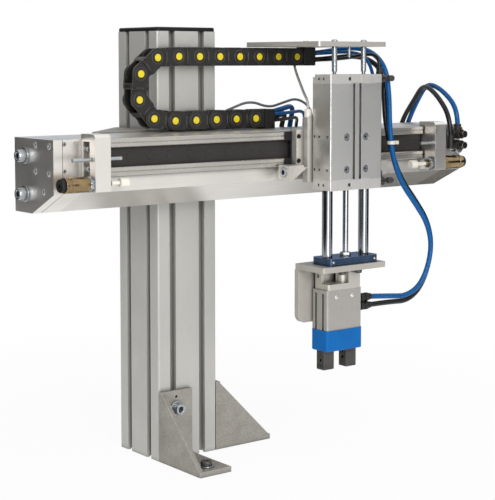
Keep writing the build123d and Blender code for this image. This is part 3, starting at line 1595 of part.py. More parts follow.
def from_carriage(offsets):
    """Points at offsets from the piston rod's line at the height of the beam's top."""
    return [(carriage_centre + x, rod_y + y, beam_top + z) for x, y, z in offsets]


def blue_gripper_route():
    """Corners of the blue tube from the upper gripper fitting to the chain's moving end."""
    tip = fitting_tip(gripper_fitting_heights[0])
    start = along(tip, (-1, 0, 0), manifold_socket_depth)
    bends = [(111.3, 9, -192), (135.3, 9.5, -174), (145.3, 10, -145), (138.3, 10.5, -114),
             (117.3, 10.5, -88), (95.3, 10.5, -63), (81.8, 10.5, -34), (76.3, 10.5, 2), (75.3, 10.5, 40),
             (73.3, 14.5, 71), (70.3, 34.5, 89), (67.3, 62.5, 94), (62.3, 90.5, 91)]
    end = chain_mouth(True, 1, False)
    return [start, along(start, (31.2, 0, 0), 1), *from_carriage(bends), along(end, (19.45, 0, 0.5), 1), end]


def black_gripper_route():
    """Corners of the black tube from the lower gripper fitting, beside the blue one, to the chain."""
    tip = fitting_tip(gripper_fitting_heights[1])
    start = along(tip, (-1, 0, 0), manifold_socket_depth)
    bends = [(114.3, 10.5, -201.5), (140.8, 12.5, -182), (152.8, 14.5, -147), (146.3, 15.5, -112),
             (124.3, 15.5, -83.5), (102.3, 15.5, -59), (88.3, 15.5, -32), (82.3, 16, 2), (80.8, 17, 37),
             (78.3, 22.5, 65), (74.3, 42.5, 80), (71.3, 69.5, 84), (65.3, 94.5, 82)]
    end = chain_mouth(True, -1, False)
    return [start, along(start, (33.2, 0, 0), 1), *from_carriage(bends), along(end, (21.45, 0, 0.4), 1), end]


def route_at_height(route, z):
    """Point of a route's straight run that passes a height."""
    for start, end in zip(route[5:], route[6:]):
        if start[2] <= z <= end[2]:
            share = (z - start[2]) / (end[2] - start[2])
            return tuple(a + (b - a) * share for a, b in zip(start, end))


def lift_mouth(index):
    """Floor of the tube socket in a cylinder fitting's upright port."""
    return (cylinder_right + lift_fitting_port_out, rod_y,
            lift_fitting_heights()[index] + lift_fitting_port_lift - manifold_socket_depth)


def blue_lift_tube():
    """Thin blue tube from the cylinder's lower fitting up past the upper one to the chain."""
    start = lift_mouth(0)
    x, y, z = start
    points = [start, (x, y, z + 18), (x + 2, y + 6, z + 52), (x + 5, y + 13, z + 88),
              (x + 8, y + 20, z + 117), (x + 10, y + 37, z + 134), (x + 10, y + 63, z + 138),
              (x + 6, y + 90, z + 137), (x - 6, chain_y + chain_thin_offset, z + 135.8),
              chain_mouth(True, 1, True)]
    return tube("blue_lift_tube", points, lift_tube_diameter)


def black_lift_tube():
    """Thin black tube from the cylinder's upper fitting under the plate's edge to the chain."""
    start = lift_mouth(1)
    x, y, z = start
    points = [start, (x, y, z + 11), (x + 0.5, y + 9, z + 18), (x + 1, y + 28, z + 18),
              (x + 1, y + 55, z + 14), (x + 1, y + 91, z + 12), (x - 8, chain_y + chain_thin_offset, z + 11.8),
              chain_mouth(True, -1, True)]
    return tube("black_lift_tube", points, lift_tube_diameter)


def plug_left():
    """Left edge of the sensor plug on the adapter plate's top."""
    return carriage_centre - adapter_width / 2


def upper_sensor_cable():
    """Grey cable from the chain's moving end down to the plug on the adapter plate, with the plug."""
    width, depth, height = plug_body
    left = plug_left()
    pin = chain_pins()[2][-1]
    top = adapter_top + height
    x = left + width / 2
    y = carriage_front - adapter_thickness / 2
    points = [(pin[0] + 2, chain_y - 1, chain_upper_z - chain_height / 2 + 5),
              (pin[0] - 1, chain_y - 4, chain_upper_z - chain_height / 2 - 8),
              (pin[0] - 14, chain_y - 24, chain_upper_z - 30), (pin[0] - 30, chain_y - 48, chain_upper_z - 40),
              (x + 9, y + 20, top + 18), (x, y, top + 8), (x, y, top - manifold_socket_depth)]
    return tube("upper_sensor_cable", points, cable_diameter)


def sensor_plug():
    """White plug of the sensor cable on the adapter plate's top edge."""
    width, depth, height = plug_body
    left = plug_left()
    y = carriage_front - adapter_thickness / 2
    plug = rounded_block(left, left + width, y - depth / 2, y + depth / 2, adapter_top, adapter_top + height,
                         1)
    return plug - disc((left + width / 2, y, adapter_top + height), (0, 0, -1), cable_diameter + screw_play,
                       manifold_socket_depth)


def lower_sensor_cable():
    """Grey cable from the column's slot in two low arcs above the beam's back edge to the distributor."""
    mouth = manifold_mouth(4)
    x, y = half_side, -slot_centre
    arcs = [(26, -14, 23), (52, -17, 32), (80, -17, 23), (103, -16, 29), (126, -14, 34)]
    points = [(x - slot_depth / 2, y, beam_top + 9), (x + 8, y - 5, beam_top + 14),
              *((x + dx, y + dy, beam_top + dz) for dx, dy, dz in arcs),
              (mouth[0] - 2, manifold_y - 2, beam_top + 21), (mouth[0], manifold_y, beam_top - 5), mouth]
    return tube("lower_sensor_cable", points, cable_diameter)


def tube_tie():
    """Flat band with round ends about two tubes, and its lock."""
    blue = Vector(*route_at_height(blue_gripper_route(), tie_height))
    black = Vector(*route_at_height(black_gripper_route(), tie_height))
    span = black - blue
    middle = blue + span * 0.5
    angle = math.degrees(math.atan2(span.Y, span.X))
    inner_width = tube_diameter + 2 * tie_gap
    plane = Plane(origin=(middle.X, middle.Y, tie_height - tie_width / 2)).rotated((0, 0, angle))
    outer = plane * SlotCenterToCenter(span.length, inner_width + 2 * tie_thickness)
    inner = plane * SlotCenterToCenter(span.length, inner_width)
    band = extrude(outer - inner, amount=tie_width)
    lock_at = plane * Pos(0, -(inner_width / 2 + tie_thickness + tie_lock / 2 - 0.5), tie_width / 2)
    return band + lock_at * Box(tie_lock, tie_lock, tie_width)


os.makedirs("parts", exist_ok=True)

save("column", column())
save("column_cap", column_cap())
save("front_foot_bracket", front_foot_bracket())
save("right_foot_bracket", right_foot_bracket())
save("beam_brackets", beam_brackets())
save("frame_screws", bracket_screws() + beam_screws())
save("beam", beam())
save("left_end_cap", end_cap(-1))
save("right_end_cap", end_cap(1))
save("guide_rails", guide_rails())
save("rail_cover", rail_cover())
save("stop_brackets", stop_brackets())
save("shock_absorbers", absorber(-1) + absorber(1))
save("left_buffer", buffer(-1))
save("right_buffer", buffer(1))
save("end_sensors", end_sensors())
save("flow_controls", flow_controls())
save("upper_throttle_screw", throttle_screw(control_heights[0]))
save("lower_throttle_screw", throttle_screw(control_heights[1]))
save("carriage_block", carriage_block())
save("carriage_ends", carriage_ends())
save("carriage_screws", carriage_screws())
save("rail_wipers", rail_wipers())
save("adapter_plate", adapter_plate())
save("cylinder_body", cylinder_body())
save("upper_cylinder_cap", upper_cylinder_cap())
save("lower_cylinder_cap", lower_cylinder_cap())
save("cylinder_screws", cylinder_screws())
save("guide_bushes", guide_bushes())
save("top_plate", top_plate())
save("plate_posts", plate_posts())
save("cylinder_fittings", cylinder_fittings())
save("guide_rods", guide_rods())
save("piston_rod", piston_rod())
save("yoke", yoke())
save("yoke_fasteners", yoke_fasteners())
save("gripper_bracket", gripper_bracket())
save("gripper_mount", gripper_mount())
save("gripper_body", gripper_body())
save("gripper_cover", gripper_cover())
save("jaw_left", jaw(-1))
save("jaw_right", jaw(1))
save("gripper_fittings", gripper_fittings())
save("chain_lower_run", chain_lower_run())
save("chain_bend", chain_bend())
save("chain_upper_run", chain_upper_run())
save("tube_manifold", tube_manifold())
save("blue_end_tube", blue_end_tube())
save("black_end_tube", black_end_tube())
save("black_supply_tube", supply_tube("black_supply_tube", 0, -1, False))
save("blue_supply_tube", supply_tube("blue_supply_tube", 1, 1, False))
save("lift_supply_tubes", [supply_tube("lift_supply_tube", 2, -1, True),
                           supply_tube("lift_supply_tube", 3, 1, True)])
save("blue_gripper_tube", tube("blue_gripper_tube", blue_gripper_route(), tube_diameter))
save("black_gripper_tube", tube("black_gripper_tube", black_gripper_route(), tube_diameter))
save("blue_lift_tube", blue_lift_tube())
save("black_lift_tube", black_lift_tube())
save("upper_sensor_cable", upper_sensor_cable())
save("sensor_plug", sensor_plug())
save("lower_sensor_cable", lower_sensor_cable())
save("tube_tie", tube_tie())
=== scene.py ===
import logging
import math
from dataclasses import dataclass, field
from enum import Enum

import bpy
import numpy as np
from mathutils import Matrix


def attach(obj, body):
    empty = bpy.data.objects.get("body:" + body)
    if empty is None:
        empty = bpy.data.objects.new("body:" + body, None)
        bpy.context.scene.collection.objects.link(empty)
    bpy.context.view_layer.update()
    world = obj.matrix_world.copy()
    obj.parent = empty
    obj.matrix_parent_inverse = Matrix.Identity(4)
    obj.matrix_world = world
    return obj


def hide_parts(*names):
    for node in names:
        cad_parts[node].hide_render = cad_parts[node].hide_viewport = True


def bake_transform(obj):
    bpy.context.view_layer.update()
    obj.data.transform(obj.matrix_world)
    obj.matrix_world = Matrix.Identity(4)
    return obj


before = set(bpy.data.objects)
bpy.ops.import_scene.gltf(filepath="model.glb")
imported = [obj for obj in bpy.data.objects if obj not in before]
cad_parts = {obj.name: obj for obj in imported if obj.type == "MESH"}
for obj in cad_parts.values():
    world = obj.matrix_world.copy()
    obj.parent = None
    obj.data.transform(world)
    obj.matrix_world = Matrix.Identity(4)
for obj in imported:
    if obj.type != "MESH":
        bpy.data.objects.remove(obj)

# Two-axis pick and place machine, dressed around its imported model.
# Sizes are millimetres unless a name or comment says otherwise; meshes are in metres.

MM = 0.001
# Range that most of a noise pattern's values lie in
NOISE_MIDDLE = (0.3, 0.7)
# Cosine between a face and its rounded edge, where the brightened edges (wear and a painted highlight) start
# and where they are full
EDGE_COSINES = (0.99, 0.8)
# Share of open sky over a point, where the painted shade of slots and corners starts and where it is full
OPEN_SHARES = (0.9, 0.2)
# Tone of the brightened edges: wear, and a painted highlight where light would catch them
EDGE_WEAR_AND_HIGHLIGHT_TONE = "#f4f2ee"
# Tone of the painted shade in slots, corners and where parts meet
PAINTED_SHADE_TONE = "#1b1a18"
# Depth in mm to which light enters thick plastic
SOFT_DEPTH = 0.5
# Degrees between two faces from which their edge is drawn sharp, and from which a bevel rounds it
SHARP_ANGLE = 32
BEVEL_ANGLE = 40
# Depth of a thread as a share of its pitch
THREAD_DEPTH = 0.55
# Teeth of a knurled ring, and half their depth as a share of its radius
KNURL_TEETH = 24
KNURL_SWING = 0.025
# Front face of the beam, the line of the absorbers and stops as y and z, and the rods' y
BEAM_FRONT = -119.6
STOP_AXIS = (-139.0, 329.2)
ROD_Y = -160.5
log = logging.getLogger("scene")


def linear(code: str) -> tuple[float, float, float, float]:
    """Turns an sRGB hex code into the linear colour that a shader socket takes.

    Args:
        code: six hex digits after a hash sign.

    Returns:
        Red, green, blue and an alpha of 1.
    """
    parts = [int(code[i:i + 2], 16) / 255 for i in (1, 3, 5)]
    return tuple(p / 12.92 if p <= 0.04045 else ((p + 0.055) / 1.055) ** 2.4 for p in parts) + (1.0,)


def add_node(tree: bpy.types.NodeTree, kind: str, inputs: dict | None = None,
             **settings: object) -> bpy.types.ShaderNode:
    """Adds a shader node with its settings, values and links.

    Args:
        tree: node tree that takes the node.
        kind: the node type's name after "ShaderNode".
        inputs: values or output sockets by input name or number.
        settings: properties of the node.

    Returns:
        The new node.
    """
    node = tree.nodes.new("ShaderNode" + kind)
    for name, value in settings.items():
        setattr(node, name, value)
    for key, value in (inputs or {}).items():
        if isinstance(value, bpy.types.NodeSocket):
            tree.links.new(value, node.inputs[key])
        else:
            node.inputs[key].default_value = value
    return node


def ranged(tree: bpy.types.NodeTree, value: bpy.types.NodeSocket, source: tuple[float, float],
           target: tuple[float, float], **settings: object) -> bpy.types.NodeSocket:
    """Maps one range of a value onto another; beyond its ends the result stays at the end.

    Args:
        tree: node tree of the material.
        value: value to map.
        source: where the range starts and ends.
        target: results at its start and its end.
        settings: further properties of the node.

    Returns:
        The mapped value.
    """
    return add_node(tree, "MapRange", {"Value": value, "From Min": source[0], "From Max": source[1],
                                       "To Min": target[0], "To Max": target[1]}, **settings).outputs[0]


def tinted(tree: bpy.types.NodeTree, share: bpy.types.NodeSocket, tone: bpy.types.NodeSocket | tuple,
           other: str) -> bpy.types.NodeSocket:
    """Mixes a fixed colour into a tone.

    Args:
        tree: node tree of the material.
        share: how much of the fixed colour, 0 to 1.
        tone: colour so far.
        other: fixed colour as sRGB hex.

    Returns:
        The mixed colour.
    """
    return add_node(tree, "Mix", {0: share, 6: tone, 7: linear(other)}, data_type="RGBA",
                    clamp_factor=True).outputs[2]


def ray_share(tree: bpy.types.NodeTree, *rays: str) -> bpy.types.NodeSocket:
    """Tells some kinds of rays from all others.

    Args:
        tree: node tree of a material or a world.
        rays: names of the kinds, as outputs of the Light Path node.

    Returns:
        1 for the named kinds, 0 for others.
    """
    path = add_node(tree, "LightPath")
    share = path.outputs[rays[0]]
    for ray in rays[1:]:
        share = add_node(tree, "Math", {0: share, 1: path.outputs[ray]}, operation="MAXIMUM").outputs[0]
    return share


class Grain(Enum):
    """Direction in which a surface was worked, as a stretch of its noise along x, y and z."""

    NONE = (1.0, 1.0, 1.0)
    ALONG_X = (0.02, 1.0, 1.0)
    ALONG_Z = (1.0, 1.0, 0.02)


@dataclass(frozen=True)
class Finish:
    """Surface finish: two tones mixed by a fine grain and a slow clouding, with gloss, relief and edges.

    Attributes:
        name: material name.
        colour: main tone as sRGB hex.
        shade: second tone as sRGB hex, which the grain and the clouding mix in.
        metallic: 0 for plastics, 1 for bare metal.
        roughness: mean roughness.
        spread: how far roughness moves up and down.
        grain: direction of the working lines.
        grain_size: width of the grain in mm.
        grain_tint: share of the second tone at the strongest grain.
        cloud_size: size of the slow clouding in mm.
        cloud_tint: share of the second tone at the strongest clouding.
        relief: height of the grain in mm.
        edge_radius: rounding of the edges in mm, in the shading alone.
        edge_tint: how much brighter the edges are, for wear and as a painted highlight.
        coat: weight of a clear top layer.
        soft: share of light that goes in and out again, as in thick plastic.
        gloss: strength of the surface reflection on plastics, 0.5 for clear ones, less for dusty ones.
        painted_shade: strength of the shade painted into slots, corners and where parts meet.
        painted_shade_reach: how far in mm the painted shade runs out of a corner.
    """

    name: str
    colour: str
    shade: str
    metallic: float = 0.0
    roughness: float = 0.4
    spread: float = 0.08
    grain: Grain = Grain.NONE
    grain_size: float = 0.5
    grain_tint: float = 0.3
    cloud_size: float = 60.0
    cloud_tint: float = 0.4
    relief: float = 0.01
    edge_radius: float = 0.4
    edge_tint: float = 0.25
    coat: float = 0.0
    soft: float = 0.0
    gloss: float = 0.5
    painted_shade: float = 0.75
    painted_shade_reach: float = 6.0

    def noise(self, tree: bpy.types.NodeTree, size: float, stretch: tuple,
              detail: float) -> bpy.types.NodeSocket:
        """Adds a noise pattern in object space.

        Args:
            tree: node tree of the material.
            size: size of a speck in mm.
            stretch: factor on each axis, small along a working direction.
            detail: octaves of finer noise.

        Returns:
            The noise value, near 0.5 on average.
        """
        place = add_node(tree, "TexCoord").outputs["Object"]
        scale = tuple(s / (size * MM) for s in stretch)
        mapped = add_node(tree, "Mapping", {"Vector": place, "Scale": scale}).outputs[0]
        return add_node(tree, "TexNoise", {"Vector": mapped, "Scale": 1.0, "Detail": detail,
                                           "Roughness": 0.6}).outputs["Fac"]

    def build(self) -> bpy.types.Material:
        """Makes the material once and gives it again on later calls.

        Returns:
            The Blender material.
        """
        if self.name in bpy.data.materials:
            return bpy.data.materials[self.name]
        material = bpy.data.materials.new(self.name)
        material.use_nodes = True
        tree = material.node_tree
        shader = tree.nodes["Principled BSDF"]
        fine = self.noise(tree, self.grain_size, self.grain.value, 3.0)
        cloud = self.noise(tree, self.cloud_size, (1.0, 1.0, 1.0), 4.0)
        tint = add_node(tree, "Math", {0: ranged(tree, fine, NOISE_MIDDLE, (0.0, self.grain_tint)),
                                       1: ranged(tree, cloud, NOISE_MIDDLE, (0.0, self.cloud_tint))},
                        operation="ADD").outputs[0]
        tone = tinted(tree, tint, linear(self.colour), self.shade)
        rounded = add_node(tree, "Bevel", {"Radius": self.edge_radius * MM}, samples=4).outputs[0]
        flat = add_node(tree, "NewGeometry").outputs["True Normal"]
        facing = add_node(tree, "VectorMath", {0: rounded, 1: flat},
                          operation="DOT_PRODUCT").outputs["Value"]
        # Edges brightened towards a pale tone: partly wear, partly a painted highlight
        tone = tinted(tree, ranged(tree, facing, EDGE_COSINES, (0.0, self.edge_tint)), tone, EDGE_WEAR_AND_HIGHLIGHT_TONE)
        # Painted shade: ambient occlusion darkens the colour in slots, corners and where parts meet
        shut = add_node(tree, "AmbientOcclusion", {"Distance": self.painted_shade_reach * MM},
                        samples=6).outputs["AO"]
        tone = tinted(tree, ranged(tree, shut, OPEN_SHARES, (0.0, self.painted_shade)), tone, PAINTED_SHADE_TONE)
        half = self.spread / 2
        around = (self.roughness - half, self.roughness + half)
        links = {
            "Base Color": tone,
            "Roughness": add_node(tree, "Math", {0: ranged(tree, fine, NOISE_MIDDLE, (-half, half)),
                                                 1: ranged(tree, cloud, NOISE_MIDDLE, around)},
                                  operation="ADD", use_clamp=True).outputs[0],
            "Normal": add_node(tree, "Bump", {"Height": fine, "Distance": self.relief * MM, "Strength": 1.0,
                                              "Normal": rounded}).outputs[0]}
        for name, socket in links.items():
            tree.links.new(socket, shader.inputs[name])
        values = {"Metallic": self.metallic, "Coat Weight": self.coat, "Specular IOR Level": self.gloss,
                  "Subsurface Weight": self.soft, "Subsurface Scale": SOFT_DEPTH * MM}
        for name, value in values.items():
            shader.inputs[name].default_value = value
        return material


# Clear anodised extrusion: satin grey with faint die lines along its length
PROFILE = Finish("clear_anodised_profile", "#c4c3be", "#b4b3ae", 0.4, 0.44, 0.08, Grain.ALONG_Z, 0.8, 0.4,
                 80, 0.4, 0.008, 0.5, 0.25)
# Clear anodised beam: the same metal, paler, with its lines along the beam
BEAM = Finish("clear_anodised_beam", "#e6e3dd", "#d7d4ce", 0.75, 0.34, 0.06, Grain.ALONG_X, 1.0, 0.3,
              70, 0.4, 0.003, 0.5, 0.25)
# Milled and bead-blasted aluminium: pale, soft gloss, fine even speckle
MILLED = Finish("milled_aluminium", "#d3cfc7", "#c0bcb5", 0.7, 0.36, 0.1, Grain.NONE, 0.6, 0.3,
                30, 0.5, 0.008, 0.4, 0.35)
# Anodised cylinder: satin grey, drawn lines upright
CYLINDER = Finish("anodised_cylinder", "#dbdad7", "#cbcac7", 0.96, 0.36, 0.08, Grain.ALONG_Z, 0.6, 0.35,
                  40, 0.4, 0.008, 0.5, 0.35)
# Blasted bracket: the milled metal, blasted matt
MATT = Finish("blasted_aluminium", "#bab6af", "#a8a49d", 0.3, 0.48, 0.1, Grain.NONE, 0.6, 0.3,
              30, 0.5, 0.012, 0.4, 0.3)
# Cylinder caps: the same anodising, milled brighter, with bright edges from rubbing and a painted highlight
CYLINDER_CAP = Finish("anodised_cylinder_cap", "#dedcd8", "#cbc9c5", 0.7, 0.36, 0.08, Grain.NONE, 0.6, 0.35,
                      25, 0.4, 0.006, 0.5, 0.6)
# Blasted die casting: dull grey with coarse grit
CAST = Finish("blasted_casting", "#b2aea8", "#878379", 0.5, 0.5, 0.16, Grain.NONE, 1.1, 0.6,
              25, 0.4, 0.03, 0.9, 0.6)
# Ground steel rail: bright lines along it
RAIL = Finish("ground_steel_rail", "#c2beb8", "#a6a39d", 0.8, 0.28, 0.06, Grain.ALONG_X, 1.2, 0.3,
              60, 0.3, 0.001, 0.3, 0.4)
# Hard chromed rod: mirror with hardly a mark
CHROME = Finish("hard_chrome_rod", "#a3a7ac", "#7f8287", 1.0, 0.06, 0.04, Grain.ALONG_Z, 0.4, 0.3,
                30, 0.3, 0.001, 0.2, 0.1)
# Blue zinc-plated steel: cool and bright, a little cloudy
ZINC = Finish("zinc_plated_steel", "#c0c6cb", "#8f9599", 0.85, 0.24, 0.1, Grain.NONE, 1.2, 0.3,
              8, 0.6, 0.002, 0.25, 0.4)
# Cover band: dark grey plastic strip, satin, a little dusty
BAND = Finish("grey_cover_band", "#393735", "#2c2a29", 0.1, 0.4, 0.1, Grain.ALONG_X, 0.5, 0.4,
              40, 0.5, 0.004, 0.2, 0.1, 0.0, 0.0, 0.2)
# Black moulded polyamide: deep grey with a fine spark-eroded texture
BLACK = Finish("black_polyamide", "#121214", "#1c1c1f", 0.0, 0.42, 0.12, Grain.NONE, 0.4, 0.5,
               12, 0.5, 0.012, 0.3, 0.06, 0.0, 0.0, 0.2)
# Chain plastic: the same black, a little glossier, with edges brightened by wear and a painted highlight
CHAIN = Finish("black_chain_polyamide", "#1e1d1b", "#2b2a28", 0.0, 0.34, 0.12, Grain.NONE, 0.5, 0.5,
               15, 0.5, 0.012, 0.6, 0.14, 0.0, 0.0, 0.3)
# Chain pins: glossy yellow plastic
PIN = Finish("yellow_pin_plastic", "#e6d21c", "#cdb80f", 0.0, 0.3, 0.08, Grain.NONE, 0.5, 0.3,
             10, 0.4, 0.004, 0.2, 0.05, 0.2, 0.1)
# Polyurethane tubes: smooth, glossy, slightly translucent
BLUE_TUBE = Finish("blue_polyurethane_tube", "#005c9e", "#004e88", 0.0, 0.26, 0.06, Grain.NONE, 0.8, 0.3,
                   20, 0.5, 0.003, 0.1, 0.0, 0.05, 0.1, 0.25)
BLACK_TUBE = Finish("black_polyurethane_tube", "#0b0c10", "#15161a", 0.0, 0.28, 0.06, Grain.NONE, 0.8, 0.3,
                    20, 0.5, 0.003, 0.1, 0.0, 0.1, 0.0, 0.35)
# Cable jacket: matt grey rubber
CABLE = Finish("grey_cable_jacket", "#6b7076", "#575c61", 0.0, 0.45, 0.06, Grain.NONE, 0.8, 0.3,
               20, 0.5, 0.004, 0.1, 0.0)
# Nickel-plated brass: warm grey with a dull gold cast
NICKEL = Finish("nickelled_brass", "#a5906b", "#806c4e", 1.0, 0.2, 0.1, Grain.NONE, 0.8, 0.4,
                10, 0.6, 0.003, 0.3, 0.3)
# Smoked nickel: dark bright metal of the throttle screws
SMOKED = Finish("smoked_nickel", "#8c8279", "#5f564e", 0.95, 0.18, 0.08, Grain.NONE, 0.8, 0.4,
                6, 0.6, 0.002, 0.5, 0.5)
# Bearing bronze: brown gold, fine turning lines
BRONZE = Finish("bearing_bronze", "#8d7650", "#6d5939", 0.9, 0.32, 0.1, Grain.NONE, 0.5, 0.4,
                8, 0.6, 0.003, 0.3, 0.3)
# Polished dome screws: bright points on the end plates
POLISHED = Finish("polished_screw", "#e4e4e2", "#c4c4c2", 0.6, 0.2, 0.06, Grain.NONE, 1.0, 0.2,
                  6, 0.4, 0.001, 0.2, 0.3)
# Machined end plates and stops: satin metal, almost black where it mirrors the dark cards
END_PLATE = Finish("satin_end_cap", "#f2eee8", "#e4e0da", 0.95, 0.32, 0.08, Grain.NONE, 0.7, 0.3,
                   40, 0.4, 0.006, 0.4, 0.35)
# Pale cable jacket: light grey and matt
PALE_CABLE = Finish("pale_cable_jacket", "#b4b3ae", "#a09f9a", 0.0, 0.45, 0.06, Grain.NONE, 0.8, 0.3,
                    20, 0.5, 0.004, 0.1, 0.0)
# White acetal buffers: waxy off-white
ACETAL = Finish("white_acetal", "#ebe7de", "#dcd6ca", 0.0, 0.35, 0.08, Grain.NONE, 0.5, 0.3,
                10, 0.5, 0.004, 0.3, 0.1, 0.0, 0.2)
# Blue lacquered cover: even colour, soft gloss
BLUE_COVER = Finish("blue_lacquered_cover", "#0068b4", "#005ba0", 0.0, 0.32, 0.08, Grain.NONE, 0.6, 0.3,
                    20, 0.5, 0.006, 0.5, 0.12, 0.0, 0.0, 0.2)
# Gripper body: hard anodised, warm grey, drawn lines upright
GRIPPER = Finish("hard_anodised_gripper", "#b2afaa", "#a19e99", 0.5, 0.38, 0.08, Grain.ALONG_Z, 0.6, 0.35,
                 30, 0.4, 0.008, 0.5, 0.35)
# Black oxide jaws and screws: dark steel with paler rubbed patches
JAW = Finish("black_oxide_jaw", "#3f3e3d", "#5e5b57", 0.7, 0.4, 0.12, Grain.NONE, 0.6, 0.5,
             8, 0.7, 0.008, 0.4, 0.4)
# Blued steel yoke: mirror-like with a cold cast
YOKE = Finish("blued_steel_yoke", "#2e425e", "#4a627e", 0.9, 0.2, 0.1, Grain.ALONG_X, 0.6, 0.4,
              20, 0.8, 0.004, 0.5, 0.4)


def dress(finishes: dict[str, Finish]) -> None:
    """Gives nodes of the frame their finishes.

    Args:
        finishes: finish of each node, for all its material slots.
    """
    for node, finish in finishes.items():
        for slot in bpy.data.objects[node].material_slots:
            slot.material = finish.build()
        log.info("%s: %s", node, finish.name)


class Facing(Enum):
    """Way that a shape's own z points; the rows are where its x, y and z go."""

    UP = ((1, 0, 0), (0, 1, 0), (0, 0, 1))
    DOWN = ((1, 0, 0), (0, -1, 0), (0, 0, -1))
    FRONT = ((1, 0, 0), (0, 0, 1), (0, -1, 0))
    BACK = ((-1, 0, 0), (0, 0, 1), (0, 1, 0))
    RIGHT = ((0, 1, 0), (0, 0, 1), (1, 0, 0))
    LEFT = ((0, -1, 0), (0, 0, 1), (-1, 0, 0))


class Ring(Enum):
    """Form of one ring of a spun shape."""

    ROUND = "round"
    HEXAGON = "hexagon"
    KNURLED = "knurled"


@dataclass
class Shape:
    """Points and faces of a mesh in mm.

    Attributes:
        points: one row per point.
        faces: point numbers of each face, counted round its outside.
    """

    points: np.ndarray
    faces: list[tuple[int, ...]]

    def __add__(self, other: "Shape") -> "Shape":
        """Joins two shapes into one.

        Args:
            other: shape whose points and faces follow this one's.

        Returns:
            Both as one shape.
        """
        start = len(self.points)
        more = [tuple(number + start for number in face) for face in other.faces]
        return Shape(np.vstack([self.points, other.points]), self.faces + more)

    def placed(self, origin: tuple, facing: Facing = Facing.UP) -> "Shape":
        """Turns the shape and moves it.

        Args:
            origin: where the shape's own origin goes, in mm.
            facing: where the shape's own z points.

        Returns:
            The placed copy.
        """
        return Shape(self.points @ np.array(facing.value, float) + np.array(origin, float), self.faces)

    def tilted(self, origin: tuple, angle: float) -> "Shape":
        """Turns the shape in the xz plane and moves it.

        Args:
            origin: where the shape's own origin goes, in mm.
            angle: radians from x towards z.

        Returns:
            The placed copy.
        """
        c, s = math.cos(angle), math.sin(angle)
        return Shape(self.points @ np.array([[c, 0, s], [0, 1, 0], [-s, 0, c]]) + np.array(origin, float),
                     self.faces)


def joined(shapes: list[Shape]) -> Shape:
    """Joins shapes in their order.

    Args:
        shapes: one shape or more.

    Returns:
        All of them as one shape.
    """
    return sum(shapes[1:], shapes[0])


def skinned(rings: list[np.ndarray], capped: bool = True) -> Shape:
    """Skins rings of points that follow each other.

    Args:
        rings: points of each ring in mm, as many in each, counted the same way round.
        capped: closes the first and last ring.

    Returns:
        The shape: each face joins two neighbours of a ring with the same two of the next ring.
    """
    count = len(rings[0])
    last = (len(rings) - 1) * count
    faces = [(low + k, low + (k + 1) % count, low + count + (k + 1) % count, low + count + k)
             for low in range(0, last, count) for k in range(count)]
    if capped:
        faces += [tuple(range(count))[::-1], tuple(range(last, last + count))]
    return Shape(np.vstack(rings), faces)


def ring_radii(radius: float, ring: Ring, angles: np.ndarray) -> np.ndarray:
    """Distance from the axis at each angle of a ring.

    Args:
        radius: radius, or half the width across flats of a hexagon.
        ring: form of the ring.
        angles: radians round the axis.

    Returns:
        One distance per angle. On a hexagon it is the half width over the cosine of the angle from the
        nearest flat's middle; on a knurl it swings with the cosine of the teeth.
    """
    if ring is Ring.HEXAGON:
        sixth = math.pi / 3
        return radius / np.cos((angles + sixth / 2) % sixth - sixth / 2)
    if ring is Ring.KNURLED:
        return radius * (1 - KNURL_SWING + KNURL_SWING * np.cos(KNURL_TEETH * angles))
    return np.full(len(angles), radius)


def spun(rows: list[tuple], count: int = 48, capped: bool = True) -> Shape:
    """Skins rings around the z axis.

    Args:
        rows: radius, height and optional form of each ring, from the bottom's outside upwards.
        count: points in a ring, a multiple of six.
        capped: closes the first and last ring.

    Returns:
        The shape: point k of a ring lies at the ring's radius, turned by k parts of a full turn.
    """
    angles = np.arange(count) * 2 * math.pi / count
    rings = []
    for radius, height, *form in rows:
        radii = ring_radii(radius, form[0] if form else Ring.ROUND, angles)
        rings.append(np.stack([radii * np.cos(angles), radii * np.sin(angles), np.full(count, height)], 1))
    return skinned(rings, capped)


def rounded_rows(rows: list[tuple], radius: float) -> list[tuple]:
    """Cuts the corners between plain rings into two small steps.

    Args:
        rows: radius and height of each ring.
        radius: how far before and after a corner the cut starts, in mm.

    Returns:
        More rings: a point a little before each corner and one a little after it, with one between.
    """
    line = np.array([row[:2] for row in rows], float)
    result = [tuple(line[0])]
    for before, corner, after in zip(line, line[1:], line[2:]):
        back, ahead = before - corner, after - corner
        reach = min(radius, np.hypot(*back) / 2.5, np.hypot(*ahead) / 2.5)
        start = corner + back / np.hypot(*back) * reach
        end = corner + ahead / np.hypot(*ahead) * reach
        result += [tuple(start), tuple(0.25 * start + 0.5 * corner + 0.25 * end), tuple(end)]
    return result + [tuple(line[-1])]


def threaded(radius: float, start: float, end: float, pitch: float) -> list[tuple]:
    """Rings of a thread, drawn as ridges.

    Args:
        radius: crest radius.
        start: height of the first ring.
        end: height of the last ring.
        pitch: distance between crests.

    Returns:
        Rings that go out to the crest and in to the root once per pitch.
    """
    turns = max(2, int(abs(end - start) / pitch) * 2)
    heights = np.linspace(start, end, turns + 1)
    return [(radius if k % 2 else radius - THREAD_DEPTH * pitch, h) for k, h in enumerate(heights)]


def extruded(outline: np.ndarray, depth: float) -> Shape:
    """Gives a flat outline a thickness.

    Args:
        outline: points as x, y, counterclockwise.
        depth: thickness along z, up from 0.

    Returns:
        The shape: the outline, its copy at the depth, and one wall face per side.
    """
    return skinned([np.column_stack([outline, np.full(len(outline), z)]) for z in (0.0, depth)])


